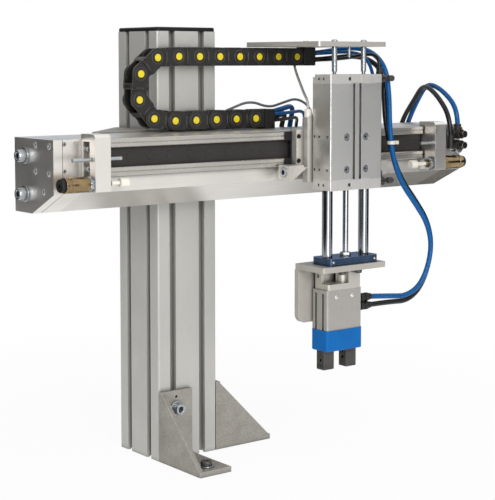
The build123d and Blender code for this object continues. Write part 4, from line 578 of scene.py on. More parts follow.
def rectangle(x0: float, x1: float, y0: float, y1: float) -> np.ndarray:
    """Outline of a rectangle.

    Args:
        x0: lowest x, and so on with x1: highest x, y0: lowest y and y1: highest y.

    Returns:
        Its corners as x, y, counterclockwise.
    """
    return np.array([(x0, y0), (x1, y0), (x1, y1), (x0, y1)], float)


def slab(x0: float, x1: float, y0: float, y1: float, z0: float, z1: float) -> Shape:
    """Flat-sided block, whose edges a bevel rounds later.

    Args:
        x0: left face, and so on with x1: right, y0: front, y1: back, z0: underside and z1: top.

    Returns:
        The block.
    """
    return extruded(rectangle(x0, x1, y0, y1), z1 - z0).placed((0, 0, z0))


def arc(centre: tuple, radius: float, start: float, end: float, steps: int = 16) -> np.ndarray:
    """Points on a circle.

    Args:
        centre: its middle as x, y.
        radius: its radius.
        start: angle of the first point in degrees.
        end: angle of the last point in degrees.
        steps: number of points.

    Returns:
        One row per point: the middle plus the radius times the angle's cosine and sine.
    """
    angles = np.radians(np.linspace(start, end, steps))
    return np.column_stack([centre[0] + radius * np.cos(angles), centre[1] + radius * np.sin(angles)])


def socket_head(radius: float, height: float, socket: float) -> Shape:
    """Socket screw's head with a knurled side and a hexagonal socket, standing on z = 0.

    Args:
        radius: head radius.
        height: head height.
        socket: width of the socket across flats.

    Returns:
        The shape, which ends at the socket's floor.
    """
    knurl = Ring.KNURLED
    return spun([(radius - 0.3, 0), (radius, 0.3, knurl), (radius, 0.7 * height, knurl),
                 (radius - 0.1, 0.75 * height), (radius - 0.6, height), (0.62 * socket, height),
                 (socket / 2, height - 0.4, Ring.HEXAGON), (socket / 2, 0.35 * height, Ring.HEXAGON)], 96)


def add_piece(name: str, shape: Shape, finish: Finish, bevel: float = 0.0) -> bpy.types.Object:
    """Makes an object of a shape, with smooth shading between flat and round faces.

    Args:
        name: object name.
        shape: its points and faces in mm.
        finish: its surface.
        bevel: rounding of sharp edges in mm, 0 for none.

    Returns:
        The new object.
    """
    mesh = bpy.data.meshes.new(name)
    mesh.from_pydata((shape.points * MM).tolist(), [], shape.faces)
    mesh.polygons.foreach_set("use_smooth", np.ones(len(mesh.polygons), bool))
    mesh.set_sharp_from_angle(angle=math.radians(SHARP_ANGLE))
    mesh.materials.append(finish.build())
    piece = bpy.data.objects.new(name, mesh)
    bpy.context.scene.collection.objects.link(piece)
    if bevel:
        rounding = piece.modifiers.new("rounding", "BEVEL")
        rounding.width = bevel * MM
        rounding.segments = 2
        rounding.limit_method = "ANGLE"
        rounding.angle_limit = math.radians(BEVEL_ANGLE)
        rounding.use_clamp_overlap = True
    log.info("%s: %d faces", name, len(shape.faces))
    return piece


def add_rider(name: str, shape: Shape, finish: Finish, body: str, replaced: str | None = None) -> None:
    """Makes an object that rides on one body.

    Args:
        name: object name.
        shape: its points and faces in mm.
        finish: its surface.
        body: body that carries it.
        replaced: node that it stands for, if any.
    """
    piece = add_piece(name, shape, finish)
    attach(piece, body)
    if replaced:
        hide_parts(replaced)


@dataclass
class Studio:
    """Camera, light, floor and the dark cards that the metal mirrors.

    Attributes:
        eye: camera's place in mm.
        heading: degrees from +Y towards +X.
        pitch: downward tilt in degrees.
        focal: focal length in pixels of the picture.
        width: picture's width in pixels.
        sensor: width of the camera's sensor in mm.
        shift: how far the frame is moved down, as a share of its width.
        floor_size: half the floor's side in metres.
        floor_drop: how far in metres the floor lies under the feet.
        fade: distances in metres from the column where the floor's shadow fades, and its share of white.
        fill: strength of the even light.
        lamps: name, place, aim, side and watts of each lamp, in mm.
        cards: name, middle, half its width, half its height and tone of each card, in mm.
    """

    eye: tuple = (-898.1, -1318.0, 450.2)
    heading: float = 37.6
    pitch: float = 4.698
    focal: float = 1389.0
    width: float = 495.0
    sensor: float = 36.0
    shift: float = 0.15
    floor_size: float = 6.0
    floor_drop: float = 0.0005
    fade: tuple = ((0.1, 0.9), (0.93, 1.0))
    fill: float = 0.42
    lamps: tuple = (("key", (-500, -2200, 1100), (60, 0, 280), 900, 18),
                    ("side", (-1900, -600, 700), (60, 0, 280), 700, 8),
                    ("low", (-300, -1700, 60), (80, -80, 330), 700, 9),
                    ("near", (-320, -620, 560), (-10, -30, 420), 260, 0.8))
    cards: tuple = (("left_card", (-950, 1150, 350), (520, 290, 0), (0, 0, 700), "#16181b"),
                    ("side_card", (-1600, -325, 350), (0, 1175, 0), (0, 0, 500), "#2b2e32"),
                    ("room_card", (-150, -1900, 300), (750, 0, 0), (0, 0, 600), "#3c4046"),
                    ("front_card", (1430, -1335, 300), (370, 0, 0), (0, 0, 500), "#3a4048"),
                    ("right_card", (1800, -260, 300), (0, 1060, 0), (0, 0, 500), "#30343a"),
                    ("back_card", (1150, 1350, 450), (560, -420, 0), (0, 0, 500), "#93a9cb"),
                    ("low_card", (790, 190, 2), (340, 0, 0), (0, 230, 0), "#605e56"))

    def camera(self) -> None:
        """Places the camera at the photograph's viewing angle."""
        data = bpy.data.cameras.new("camera")
        camera = bpy.data.objects.new("camera", data)
        bpy.context.scene.collection.objects.link(camera)
        camera.location = [v * MM for v in self.eye]
        camera.rotation_euler = (math.radians(90 - self.pitch), 0, -math.radians(self.heading))
        data.sensor_width = self.sensor
        data.sensor_fit = "HORIZONTAL"
        data.lens = self.sensor * self.focal / self.width
        data.shift_y = -self.shift
        data.clip_end = 20
        bpy.context.scene.camera = camera

    def sheet(self, name: str, corners: list, material_name: str, tone: str,
              roughness: float) -> tuple[bpy.types.Object, bpy.types.NodeTree]:
        """Adds a flat sheet with a plain material.

        Args:
            name: object name.
            corners: its four corners in metres.
            material_name: name of its material.
            tone: its colour as sRGB hex.
            roughness: its roughness.

        Returns:
            The object, and the material's node tree.
        """
        mesh = bpy.data.meshes.new(name)
        mesh.from_pydata(corners, [], [(0, 1, 2, 3)])
        sheet = bpy.data.objects.new(name, mesh)
        bpy.context.scene.collection.objects.link(sheet)
        material = bpy.data.materials.new(material_name)
        material.use_nodes = True
        mesh.materials.append(material)
        shader = material.node_tree.nodes["Principled BSDF"]
        shader.inputs["Base Color"].default_value = linear(tone)
        shader.inputs["Roughness"].default_value = roughness
        return sheet, material.node_tree

    def floor(self) -> None:
        """White floor: it keeps the shadow near the machine and fades to plain white further out."""
        size, low = self.floor_size, -self.floor_drop
        corners = [(-size, -size, low), (size, -size, low), (size, size, low), (-size, size, low)]
        floor, tree = self.sheet("floor", corners, "studio_floor", "#fafafa", 0.9)
        shader = tree.nodes["Principled BSDF"]
        shader.inputs["Specular IOR Level"].default_value = 0.1
        place = add_node(tree, "TexCoord").outputs["Object"]
        away = add_node(tree, "VectorMath", {0: place}, operation="LENGTH").outputs["Value"]
        fade = ranged(tree, away, *self.fade, interpolation_type="SMOOTHSTEP")
        seen = ray_share(tree, "Is Camera Ray", "Is Glossy Ray")
        share = add_node(tree, "Math", {0: seen, 1: fade}, operation="MULTIPLY").outputs[0]
        white = add_node(tree, "Emission", {"Color": (1, 1, 1, 1), "Strength": 1.0})
        mixed = add_node(tree, "MixShader", {0: share, 1: shader.outputs[0], 2: white.outputs[0]})
        tree.links.new(mixed.outputs[0], tree.nodes["Material Output"].inputs["Surface"])

    def world(self) -> None:
        """Soft even light, with white for what the camera, gloss and glass see."""
        world = bpy.data.worlds.new("studio")
        world.use_nodes = True
        tree = world.node_tree
        tree.nodes.clear()
        seen = ray_share(tree, "Is Camera Ray", "Is Glossy Ray", "Is Transmission Ray")
        soft = add_node(tree, "Background", {"Color": (1, 1, 1, 1), "Strength": self.fill})
        white = add_node(tree, "Background", {"Color": (1, 1, 1, 1), "Strength": 1.0})
        mixed = add_node(tree, "MixShader", {0: seen, 1: soft.outputs[0], 2: white.outputs[0]})
        out = add_node(tree, "OutputWorld")
        tree.links.new(mixed.outputs[0], out.inputs["Surface"])
        bpy.context.scene.world = world

    def lamp(self, name: str, place: tuple, aim: tuple, size: float, power: float) -> None:
        """Adds one soft square lamp.

        Args:
            name: lamp name.
            place: position in mm.
            aim: point in mm that it faces.
            size: side in mm.
            power: watts.
        """
        data = bpy.data.lights.new(name, "AREA")
        data.shape = "SQUARE"
        data.size = size * MM
        data.energy = power
        lamp = bpy.data.objects.new(name, data)
        bpy.context.scene.collection.objects.link(lamp)
        start = np.array(place) * MM
        ray = np.array(aim) * MM - start
        ray = ray / np.linalg.norm(ray)
        lamp.location = start
        lamp.rotation_euler = (math.acos(-ray[2]), 0, math.atan2(-ray[0], ray[1]))

    def card(self, name: str, centre: tuple, across: tuple, up: tuple, tone: str) -> None:
        """Puts a dark card outside the picture, which only shows as a reflection in the metal.

        Args:
            name: card name.
            centre: its middle in mm.
            across: half its width as a vector in mm.
            up: half its height as a vector in mm.
            tone: its colour as sRGB hex.
        """
        middle, side, rise = np.array(centre, float), np.array(across, float), np.array(up, float)
        corners = [middle - side - rise, middle + side - rise, middle + side + rise, middle - side + rise]
        card = self.sheet(name, [tuple(c * MM) for c in corners], name, tone, 1.0)[0]
        card.visible_camera = False
        card.visible_shadow = False
        card.visible_diffuse = False

    def build(self) -> None:
        """Sets up the whole studio."""
        bpy.context.scene.view_settings.view_transform = "Standard"
        self.camera()
        self.floor()
        self.world()
        for lamp in self.lamps:
            self.lamp(*lamp)
        for card in self.cards:
            self.card(*card)
        log.info("studio: %d lamps, %d cards", len(self.lamps), len(self.cards))


@dataclass(frozen=True)
class Line:
    """One tube or cable.

    Attributes:
        node: node that it stands for, and the piece's name.
        finish: its surface.
        diameter: outer diameter.
        length: true length.
        body: body that it rides on.
        points: its route.
    """

    node: str
    finish: Finish
    diameter: float
    length: float
    body: str
    points: tuple

    def curve(self, bevelled: bool) -> bpy.types.Object:
        """Makes the route's smooth spline.

        Args:
            bevelled: whether the curve has its thickness.

        Returns:
            The curve object, linked to the scene.
        """
        data = bpy.data.curves.new(self.node, "CURVE")
        data.dimensions = "3D"
        data.resolution_u = 10
        spline = data.splines.new("NURBS")
        spline.points.add(len(self.points) - 1)
        for point, place in zip(spline.points, self.points):
            point.co = [v * MM for v in place] + [1.0]
        spline.order_u = 3
        spline.use_endpoint_u = True
        if bevelled:
            data.bevel_depth = self.diameter / 2 * MM
            data.bevel_resolution = 5
            data.use_fill_caps = True
            data.materials.append(self.finish.build())
        piece = bpy.data.objects.new(self.node + "_line", data)
        bpy.context.scene.collection.objects.link(piece)
        return piece

    def free(self, replaced: tuple[str, ...] | None = None) -> None:
        """Adds the line as a cord whose two ends stay on one body.

        Args:
            replaced: nodes that it stands for, when they aren't called like the line.
        """
        piece = self.curve(True)
        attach(piece, self.body)
        if replaced is None:
            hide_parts(self.node)
        elif replaced:
            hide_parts(*replaced)
        log.info("%s: %.1f mm", self.node, self.length)

    def bridge(self, first: str, second: str, start: tuple, end: tuple) -> None:
        """Adds the line as a mesh tube along its route, fixed where it stands.

        Args:
            first: body at its end point; not used.
            second: body at its start point; not used.
            start: where the first body's hold ends, in mm; not used.
            end: where the second body's hold begins, in mm; not used.
        """
        guide = self.curve(False)
        bpy.context.view_layer.update()
        mesh = bpy.data.meshes.new_from_object(guide)
        path = np.array([v.co[:] for v in mesh.vertices])
        bpy.data.meshes.remove(mesh)
        bpy.data.objects.remove(guide)
        piece = add_piece(self.node + "_line", self.skin(path / MM), self.finish)
        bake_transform(piece)
        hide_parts(self.node)

    def skin(self, path: np.ndarray, count: int = 20) -> Shape:
        """Skins a round tube along a path.

        Args:
            path: points in mm.
            count: points round the tube.

        Returns:
            The tube: each ring lies across the path's direction, and carries the last ring's side vector
            on with the part along the new direction taken out.
        """
        ahead = np.gradient(path, axis=0)
        ahead /= np.linalg.norm(ahead, axis=1)[:, None]
        side = np.cross(ahead[0], (0.3, 0.2, 0.9))
        angles = np.arange(count) * 2 * math.pi / count
        rings = []
        for place, way in zip(path, ahead):
            side = side - way * side.dot(way)
            side /= np.linalg.norm(side)
            other = np.cross(way, side)
            rings.append(place + self.diameter / 2 * (np.cos(angles)[:, None] * side
                                                      + np.sin(angles)[:, None] * other))
        return skinned(rings)


@dataclass
class AirLines:
    """Blue and black air tubes, and two grey sensor cables.

    Attributes:
        fixed: lines with both ends on one body, each for its own node.
        lift_pair: the two lines that share the node of the lift's supply tubes.
        hanging: lines that run between the carriage and the ram, built as fixed tubes.
        hold_high: place given for the carriage's hold on them, passed on to each tube.
        hold_low: place given for the ram's hold on them, passed on to each tube.
    """

    fixed: tuple = (
        Line("blue_end_tube", BLUE_TUBE, 6, 327.5, "frame",
             ((337, -133.6, 371.6), (337, -133.6, 392), (338, -109, 414), (341, -79, 424),
              (346, -60, 409), (349, -36, 376), (341, -28, 336), (321, -27, 318), (281, -28, 313),
              (241, -28, 315), (205, -28, 315))),
        Line("black_end_tube", BLACK_TUBE, 6, 313.5, "frame",
             ((325, -133.6, 358.1), (325, -133.6, 382), (328, -108, 409), (333, -79, 423),
              (337, -58, 402), (340, -35, 378), (335, -30, 349), (311, -27, 332), (279, -28, 327.5),
              (241, -28, 329), (205, -28, 329))),
        Line("black_supply_tube", BLACK_TUBE, 6, 96.5, "frame",
             ((99.44, -50.15, 381.6), (121, -50.15, 386), (142, -41.5, 391), (146.2, -29, 377),
              (144.5, -28, 355), (144.5, -28, 341))),
        Line("blue_supply_tube", BLUE_TUBE, 6, 114.1, "frame",
             ((99.44, -50.15, 389), (127, -50.15, 394.5), (154, -41.5, 399), (159.2, -29, 378),
              (156.5, -28, 355), (156.5, -28, 341))),
        Line("blue_lift_tube", BLUE_TUBE, 4, 227.5, "carriage",
             ((181.8, -160.5, 323.75), (181.8, -160.5, 341.75), (183.8, -154.5, 375.75),
              (186.8, -147.5, 411.75), (189.8, -140.5, 440.75), (191.8, -123.5, 457.75),
              (191.8, -97.5, 461.75), (187.8, -70.5, 460.75), (175.8, -55.95, 459.55),
              (160.55, -55.95, 459.5))),
        Line("black_lift_tube", BLACK_TUBE, 4, 130.4, "carriage",
             ((181.8, -160.5, 440.35), (181.8, -160.5, 451.35), (182.3, -151.5, 458.35),
              (182.8, -132.5, 458.35), (182.8, -105.5, 454.35), (182.8, -69.5, 452.35),
              (173.8, -55.95, 452.15), (160.55, -55.95, 452.1))),
        Line("upper_sensor_cable", PALE_CABLE, 3, 121.6, "carriage",
             ((144.55, -53.75, 450.5), (141.5, -58, 444.5), (131, -76, 434),
              (117, -99.5, 423.3), (103.5, -122, 413.5), (91.5, -142.8, 406), (91.5, -142.8, 395))),
        Line("lower_sensor_cable", CABLE, 3, 219.6, "frame",
             ((33.75, -20, 382), (48, -25, 387), (66, -34, 396), (92, -37, 405), (120, -37, 396),
              (143, -36, 402), (166, -34, 407), (192, -30, 394), (194, -28, 368), (194, -28, 341))))
    lift_pair: tuple = (
        Line("lift_supply_tube_low", BLACK_TUBE, 4, 112.1, "frame",
             ((99.44, -55.95, 381.6), (130.52, -55.95, 383.1), (158.83, -43.37, 385.1), (168.2, -29, 374),
              (168.5, -28, 355), (168.5, -28, 341))),
        Line("lift_supply_tube_high", BLUE_TUBE, 4, 127.6, "frame",
             ((99.44, -55.95, 389), (136.14, -55.95, 390.5), (169.58, -43.37, 392.5), (180.7, -29, 374),
              (181, -28, 355), (181, -28, 341))))
    hanging: tuple = (
        Line("blue_gripper_tube", BLUE_TUBE, 6, 481.7, "ram",
             ((174.8, -151.9, 181.6), (206, -152.5, 179), (236, -153.5, 176), (260, -155, 191),
              (271.5, -157.5, 228), (264.5, -157.5, 259), (244, -156.5, 285), (224.5, -153, 310),
              (213.5, -150, 339), (208, -150, 375), (207, -150, 413), (205, -146, 444), (202, -126, 462),
              (199, -98, 467), (194, -70, 464), (180, -50.15, 460), (160.55, -50.15, 459.5))),
        Line("black_gripper_tube", BLACK_TUBE, 6, 481.4, "ram",
             ((174.8, -151.9, 171.8), (208, -151.9, 171.8), (240, -150, 169.5), (264, -150, 186.5),
              (278.3, -151, 227), (271, -151, 261), (249.6, -150.3, 288.5), (230, -147, 313.5),
              (218.5, -144.5, 341), (207.5, -143.5, 379), (206, -142.5, 410), (209.5, -137.5, 438),
              (206, -118, 453), (203, -91, 457), (197, -66, 455), (182, -50.15, 452.5),
              (160.55, -50.15, 452.1))))
    hold_high: tuple = (215, -150, 400)
    hold_low: tuple = (200, -150, 200)

    def build(self) -> None:
        """Adds every line."""
        for line in self.fixed:
            line.free()
        self.lift_pair[0].free(("lift_supply_tubes",))
        self.lift_pair[1].free(())
        for line in self.hanging:
            line.bridge("carriage", "ram", self.hold_high, self.hold_low)


@dataclass
class EnergyChain:
    """Energy chain that bends in half a turn between the beam and the plate above the carriage.

    Lengths and places are mm. The outer eyes of a link hold the pins of the next link's inner eyes.
    """

    middle_y: float = -52.75
    bend_centre_x: float = -44.0
    lower_pins_z: float = 385.3
    bend_radius: float = 35.25
    pin_pitch: float = 28.0
    link_height: float = 20.6
    link_width: float = 18.5
    plate_wall: float = 1.5
    plate_gap: float = 0.3
    eye_play: float = 0.4
    plate_corner: float = 1.5
    bar_length: float = 6.6
    bar_sunk: float = 0.4
    bar_wall: float = 1.6
    crown_sunk: float = 0.6
    crown_inset: float = 0.8
    crown_notch: float = 2.6
    rib_half_height: float = 4.5
    top_pin_degrees: float = 105.5
    bend_pin_count: int = 4
    lower_pin_count: int = 5
    upper_pin_count: int = 7
    cap_diameter: float = 8.2
    cap_proud: float = 0.8
    bracket_length: float = 28.0
    bracket_bar: float = 5.0
    foot_length: float = 14.0
    beam_top_z: float = 373.0
    plate_underside_z: float = 466.8
    edge_rounding: float = 0.25

    def pins(self) -> tuple[list, list, list]:
        """Finds the pins.

        Returns:
            Places as x, z of the lower run, the bend and the upper run, from the fixed end. A chord of one
            pitch spans twice the angle whose sine is half a pitch over the radius.
        """
        step = 2 * math.asin(self.pin_pitch / 2 / self.bend_radius)
        first = math.radians(self.top_pin_degrees)
        low_z, high_z = self.lower_pins_z, self.lower_pins_z + 2 * self.bend_radius
        angles = [first + k * step for k in reversed(range(self.bend_pin_count))]
        bend = [(self.bend_centre_x + self.bend_radius * math.cos(angle),
                 low_z + self.bend_radius + self.bend_radius * math.sin(angle)) for angle in angles]
        low_x = bend[0][0] + math.sqrt(self.pin_pitch ** 2 - (bend[0][1] - low_z) ** 2)
        high_x = bend[-1][0] + math.sqrt(self.pin_pitch ** 2 - (bend[-1][1] - high_z) ** 2)
        lower = [(low_x + k * self.pin_pitch, low_z) for k in reversed(range(self.lower_pin_count))]
        return lower, bend, [(high_x + k * self.pin_pitch, high_z) for k in range(self.upper_pin_count)]

    def plate(self, outline: np.ndarray, outside: float, thickness: float) -> Shape:
        """Two side plates of an outline, mirrored about the chain's middle.

        Args:
            outline: plate outline as x, z.
            outside: distance of the plates' outer faces from the middle.
            thickness: plate thickness.

        Returns:
            The two plates.
        """
        plate = extruded(outline, thickness)
        return joined([plate.placed((0, y, 0), Facing.FRONT) for y in (thickness - outside, outside)])

    def both_sides(self, shape: Shape, x: float) -> Shape:
        """Puts a shape on both faces of the chain, its z outwards.

        Args:
            shape: the shape.
            x: its place along the link.

        Returns:
            The shape and its counterpart.
        """
        edge = self.link_width / 2
        return shape.placed((x, -edge, 0), Facing.FRONT) + shape.placed((x, edge, 0), Facing.BACK)

    def eye_ring(self, x: float) -> Shape:
        """Raised rings round an eye.

        Args:
            x: place of the eye along the link.

        Returns:
            The ring on both sides of the chain.
        """
        rows = [(6.2, 0), (6.2, 0.35), (6.5, 0.5), (7.3, 0.5), (7.6, 0.35), (7.6, 0)][::-1]
        return self.both_sides(spun(rows, 36, False), x)

    def bar(self, x: float, width: float, side: int) -> Shape:
        """Crossbar with a raised middle and notched ends.

        Args:
            x: its start along the link.
            width: its length along the link.
            side: 1 for the upper one, -1 for the lower one.

        Returns:
            The bar across the chain's whole width.
        """
        half, edge = self.link_height / 2, self.link_width / 2
        outside = half - self.bar_sunk
        low, high = sorted((side * outside, side * (outside - self.bar_wall)))
        body = slab(x, x + width, -edge, edge, low, high)
        low, high = sorted((side * half, side * (half - self.crown_sunk)))
        notch, inset = edge - self.crown_notch, self.crown_inset
        return body + slab(x + inset, x + width - inset, -notch, notch, low, high)

    def link(self) -> Shape:
        """One link along x from its inner eyes at 0 to its outer eyes at one pitch.

        Returns:
            The link: cranked side plates with a rib and two small tabs, two crossbars and eye rings.
        """
        half, edge = self.link_height / 2, self.link_width / 2
        start = half + self.eye_play
        end = start + self.bar_length
        corner, wall = self.plate_corner, self.plate_wall
        outer = np.vstack([[(start, corner - half), (start + corner, -half)],
                           arc((self.pin_pitch, 0), half, -90, 90),
                           [(start + corner, half), (start, half - corner)]])
        small = half - self.eye_play
        inner = np.vstack([[(end, -small), (end, small)], arc((0, 0), small, 90, 270)])
        body = self.plate(outer, edge, wall) + self.plate(inner, edge - wall - self.plate_gap, wall)
        bar_inside = half - self.bar_sunk - self.bar_wall
        web = rectangle(start, end, -bar_inside, bar_inside)
        body += self.plate(web, edge - wall, self.plate_gap + wall)
        rib = rectangle(start + 1.2, start + 2.4, -self.rib_half_height, self.rib_half_height)
        body += self.plate(rib, edge + 0.35, 0.6)
        for side in (-1, 1):
            body += self.bar(start, self.bar_length, side)
            low, high = sorted((side * (half - 1.3), side * (half - 0.1)))
            body += self.plate(rectangle(start + 3.4, start + 6.4, low, high), edge + 0.4, 0.7)
        return body + self.eye_ring(self.pin_pitch)

    def end(self, foot_z: float) -> Shape:
        """End bracket along x from its eyes at 0: cheeks, bars and a foot.

        Args:
            foot_z: height of the foot's face, from the pins.

        Returns:
            The bracket.
        """
        half, edge = self.link_height / 2, self.link_width / 2
        start = half + self.eye_play
        inner = foot_z > 0
        outside = edge - self.plate_wall - self.plate_gap if inner else edge
        eye = half - self.eye_play if inner else half
        lug = np.vstack([[(start + 2, -eye), (start + 2, eye)], arc((0, 0), eye, 90, 270)])
        tip, corner = self.bracket_length, self.plate_corner
        cheek = np.array([(start, 1 - half), (start + 1, -half), (tip - corner, -half), (tip, corner - half),
                          (tip, half - corner), (tip - corner, half), (start + 1, half), (start, half - 1)])
        body = self.plate(lug, outside, self.plate_wall) + self.plate(cheek, edge, self.plate_wall)
        for x in (start, tip - self.bracket_bar):
            body += self.bar(x, self.bracket_bar, 1) + self.bar(x, self.bracket_bar, -1)
        low, high = sorted((foot_z, math.copysign(half - 1, foot_z)))
        body += slab(tip - self.foot_length, tip, -edge, edge, low, high)
        if not inner:
            body += self.eye_ring(0)
        return body

    def caps(self) -> Shape:
        """Both caps of one pin, domed at the rim with a shallow dimple.

        Returns:
            The caps, about the pin's middle.
        """
        radius, floor = self.cap_diameter / 2, 0.8 * self.cap_proud
        rows = [(radius, -0.3), (radius, 0.45 * self.cap_proud), (radius - 0.35, self.cap_proud),
                (radius - 1.3, self.cap_proud), (radius - 1.5, floor), (1.1, floor), (0.7, self.cap_proud)]
        return self.both_sides(spun(rows, 30), 0)

    def run(self, pins: list, extra: Shape | None = None, first_caps: bool = False) -> tuple[Shape, Shape]:
        """Links and caps from pin to pin.

        Args:
            pins: places of the pins.
            extra: bracket that belongs to the run, already in place.
            first_caps: whether the first pin has caps as well.

        Returns:
            The black links and the yellow caps.
        """
        link, caps = self.link(), self.caps()
        black = [] if extra is None else [extra]
        for start, end in zip(pins, pins[1:]):
            angle = math.atan2(end[1] - start[1], end[0] - start[0])
            black.append(link.tilted((start[0], self.middle_y, start[1]), angle))
        yellow = [caps.placed((x, self.middle_y, z)) for x, z in (pins if first_caps else pins[1:])]
        return joined(black), joined(yellow)

    def build(self) -> None:
        """Builds the three runs; the bend rides on its own body and the straight runs are baked in place."""
        lower, bend, upper = self.pins()
        (low_x, low_z), (high_x, high_z) = lower[0], upper[-1]
        fixed = self.end(self.beam_top_z - low_z).placed((low_x, self.middle_y, low_z))
        moving = self.end(self.plate_underside_z - high_z).placed((high_x, self.middle_y, high_z))
        runs = {"chain_lower_run": self.run(lower, fixed, True),
                "chain_bend": self.run([lower[-1], *bend, upper[0]]),
                "chain_upper_run": self.run(upper, moving)}
        for node, shapes in runs.items():
            for shape, part, finish in zip(shapes, ("links", "pins"), (CHAIN, PIN)):
                rounding = self.edge_rounding if part == "links" else 0
                piece = add_piece(f"{node}_{part}", shape, finish, rounding)
                if node == "chain_bend":
                    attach(piece, "chain_bend")
                elif node == "chain_lower_run":
                    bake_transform(piece)
                else:
                    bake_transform(piece)
                if part == "links":
                    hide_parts(node)
        log.info("energy chain: %d links", self.lower_pin_count + self.bend_pin_count + self.upper_pin_count)


@dataclass
class Stand:
    """Column, its cap, the foot and beam brackets, and all the screws of the frame.

    Spots are x and z on the beam's front, and y and z on the end plates.
    """

    washer_bore: float = 4.1
    washer_radius: float = 8.5
    washer_height: float = 1.6
    washer_rounding: float = 0.4
    head_radius: float = 6.5
    head_height: float = 8.0
    socket_width: float = 6.0
    large_screw_seats: tuple = (
        ((-20, -46, 60), Facing.FRONT), ((46, -20, 60), Facing.RIGHT),
        ((-46, 20, 355), Facing.LEFT), ((46, 20, 355), Facing.RIGHT),
        ((-103.5, -34, 355), Facing.BACK), ((103.5, -34, 355), Facing.BACK),
        ((-216.6, -62, 355), Facing.LEFT), ((-216.6, -62, 316), Facing.LEFT),
        ((355.6, -62, 355), Facing.RIGHT), ((355.6, -62, 316), Facing.RIGHT))
    floor_seat: tuple = (-20, -103.5, 6)
    floor_head_height: float = 5.0
    end_plate_spots: tuple = ((-83, 366.5), (-111, 366.5), (-83, 340), (-110, 339), (-99, 320))
    end_plate_faces: tuple = ((-216.6, Facing.LEFT), (355.6, Facing.RIGHT))
    seam_screw_spots: tuple = ((-204, 368.5), (-204, 341.5), (343, 368.5), (343, 341.5))
    pocket_screw_spots: tuple = ((-178.9, 343), (-178.9, 363), (298, 343), (298, 363))
    hexagon_plug_spots: tuple = ((350.6, 366), (350.6, 343.5))
    pocket_floor_y: float = -123.6
    finishes: dict = field(default_factory=lambda: {
        "column": PROFILE, "column_cap": BLACK, "front_foot_bracket": CAST, "right_foot_bracket": CAST,
        "beam_brackets": CAST})

    def ring(self) -> Shape:
        """Washer with softly rounded edges, lying on z = 0.

        Returns:
            The washer.
        """
        rows = [(self.washer_bore, 0), (self.washer_radius, 0), (self.washer_radius, self.washer_height),
                (self.washer_bore, self.washer_height)]
        return spun(rounded_rows(rows, self.washer_rounding))

    def large_screws(self) -> Shape:
        """Washers and socket heads of the large screws.

        Returns:
            All of them, in place.
        """
        head = socket_head(self.head_radius, self.head_height, self.socket_width)
        screw = self.ring() + head.placed((0, 0, self.washer_height))
        return joined([screw.placed(seat, facing) for seat, facing in self.large_screw_seats])

    def dome_screws(self) -> Shape:
        """Small polished screws, nearly flush in the end plates.

        Returns:
            All of them, in place.
        """
        half = Ring.HEXAGON
        dome = spun([(3.45, -3), (3.45, -0.6), (3.2, -0.3), (2.6, -0.1), (1.7, 0), (1.5, -0.4, half),
                     (1.5, -1.4, half)])
        return joined([dome.placed((x, y, z), facing) for x, facing in self.end_plate_faces
                       for y, z in self.end_plate_spots])

    def small_screws(self) -> Shape:
        """Set screws beside the seams, socket screws in the pockets, and hexagon plugs.

        Returns:
            All of them, in place.
        """
        half = Ring.HEXAGON
        set_screw = spun([(1.9, -3), (1.9, -0.3), (1.6, 0), (1.15, 0), (1.0, -0.2, half), (1.0, -1.6, half)],
                         24)
        pocket_head = socket_head(3.5, 4.0, 3.0)
        plug = spun([(5.2, 0), (5.5, 0.4, half), (5.5, 4.2, half), (4.9, 5), (2.4, 5), (2.2, 4.6, half),
                     (2.2, 2.5, half)])
        kinds = ((set_screw, self.seam_screw_spots, BEAM_FRONT),
                 (pocket_head, self.pocket_screw_spots, self.pocket_floor_y),
                 (plug, self.hexagon_plug_spots, BEAM_FRONT))
        return joined([shape.placed((x, y, z), Facing.FRONT) for shape, spots, y in kinds for x, z in spots])

    def build(self) -> None:
        """Dresses the stand and adds its screws; the front foot's floor screw is dark."""
        dress(self.finishes)
        add_rider("frame_washer_screws", self.large_screws(), ZINC, "frame", "frame_screws")
        add_rider("end_plate_screws", self.dome_screws(), POLISHED, "frame")
        add_rider("frame_small_screws", self.small_screws(), ZINC, "frame")
        x, y, z = self.floor_seat
        head = socket_head(self.head_radius, self.floor_head_height, self.socket_width)
        add_rider("floor_washer", self.ring().placed((x, y, z)), ZINC, "frame")
        add_rider("floor_screw", head.placed((x, y, z + self.washer_height)), JAW, "frame")


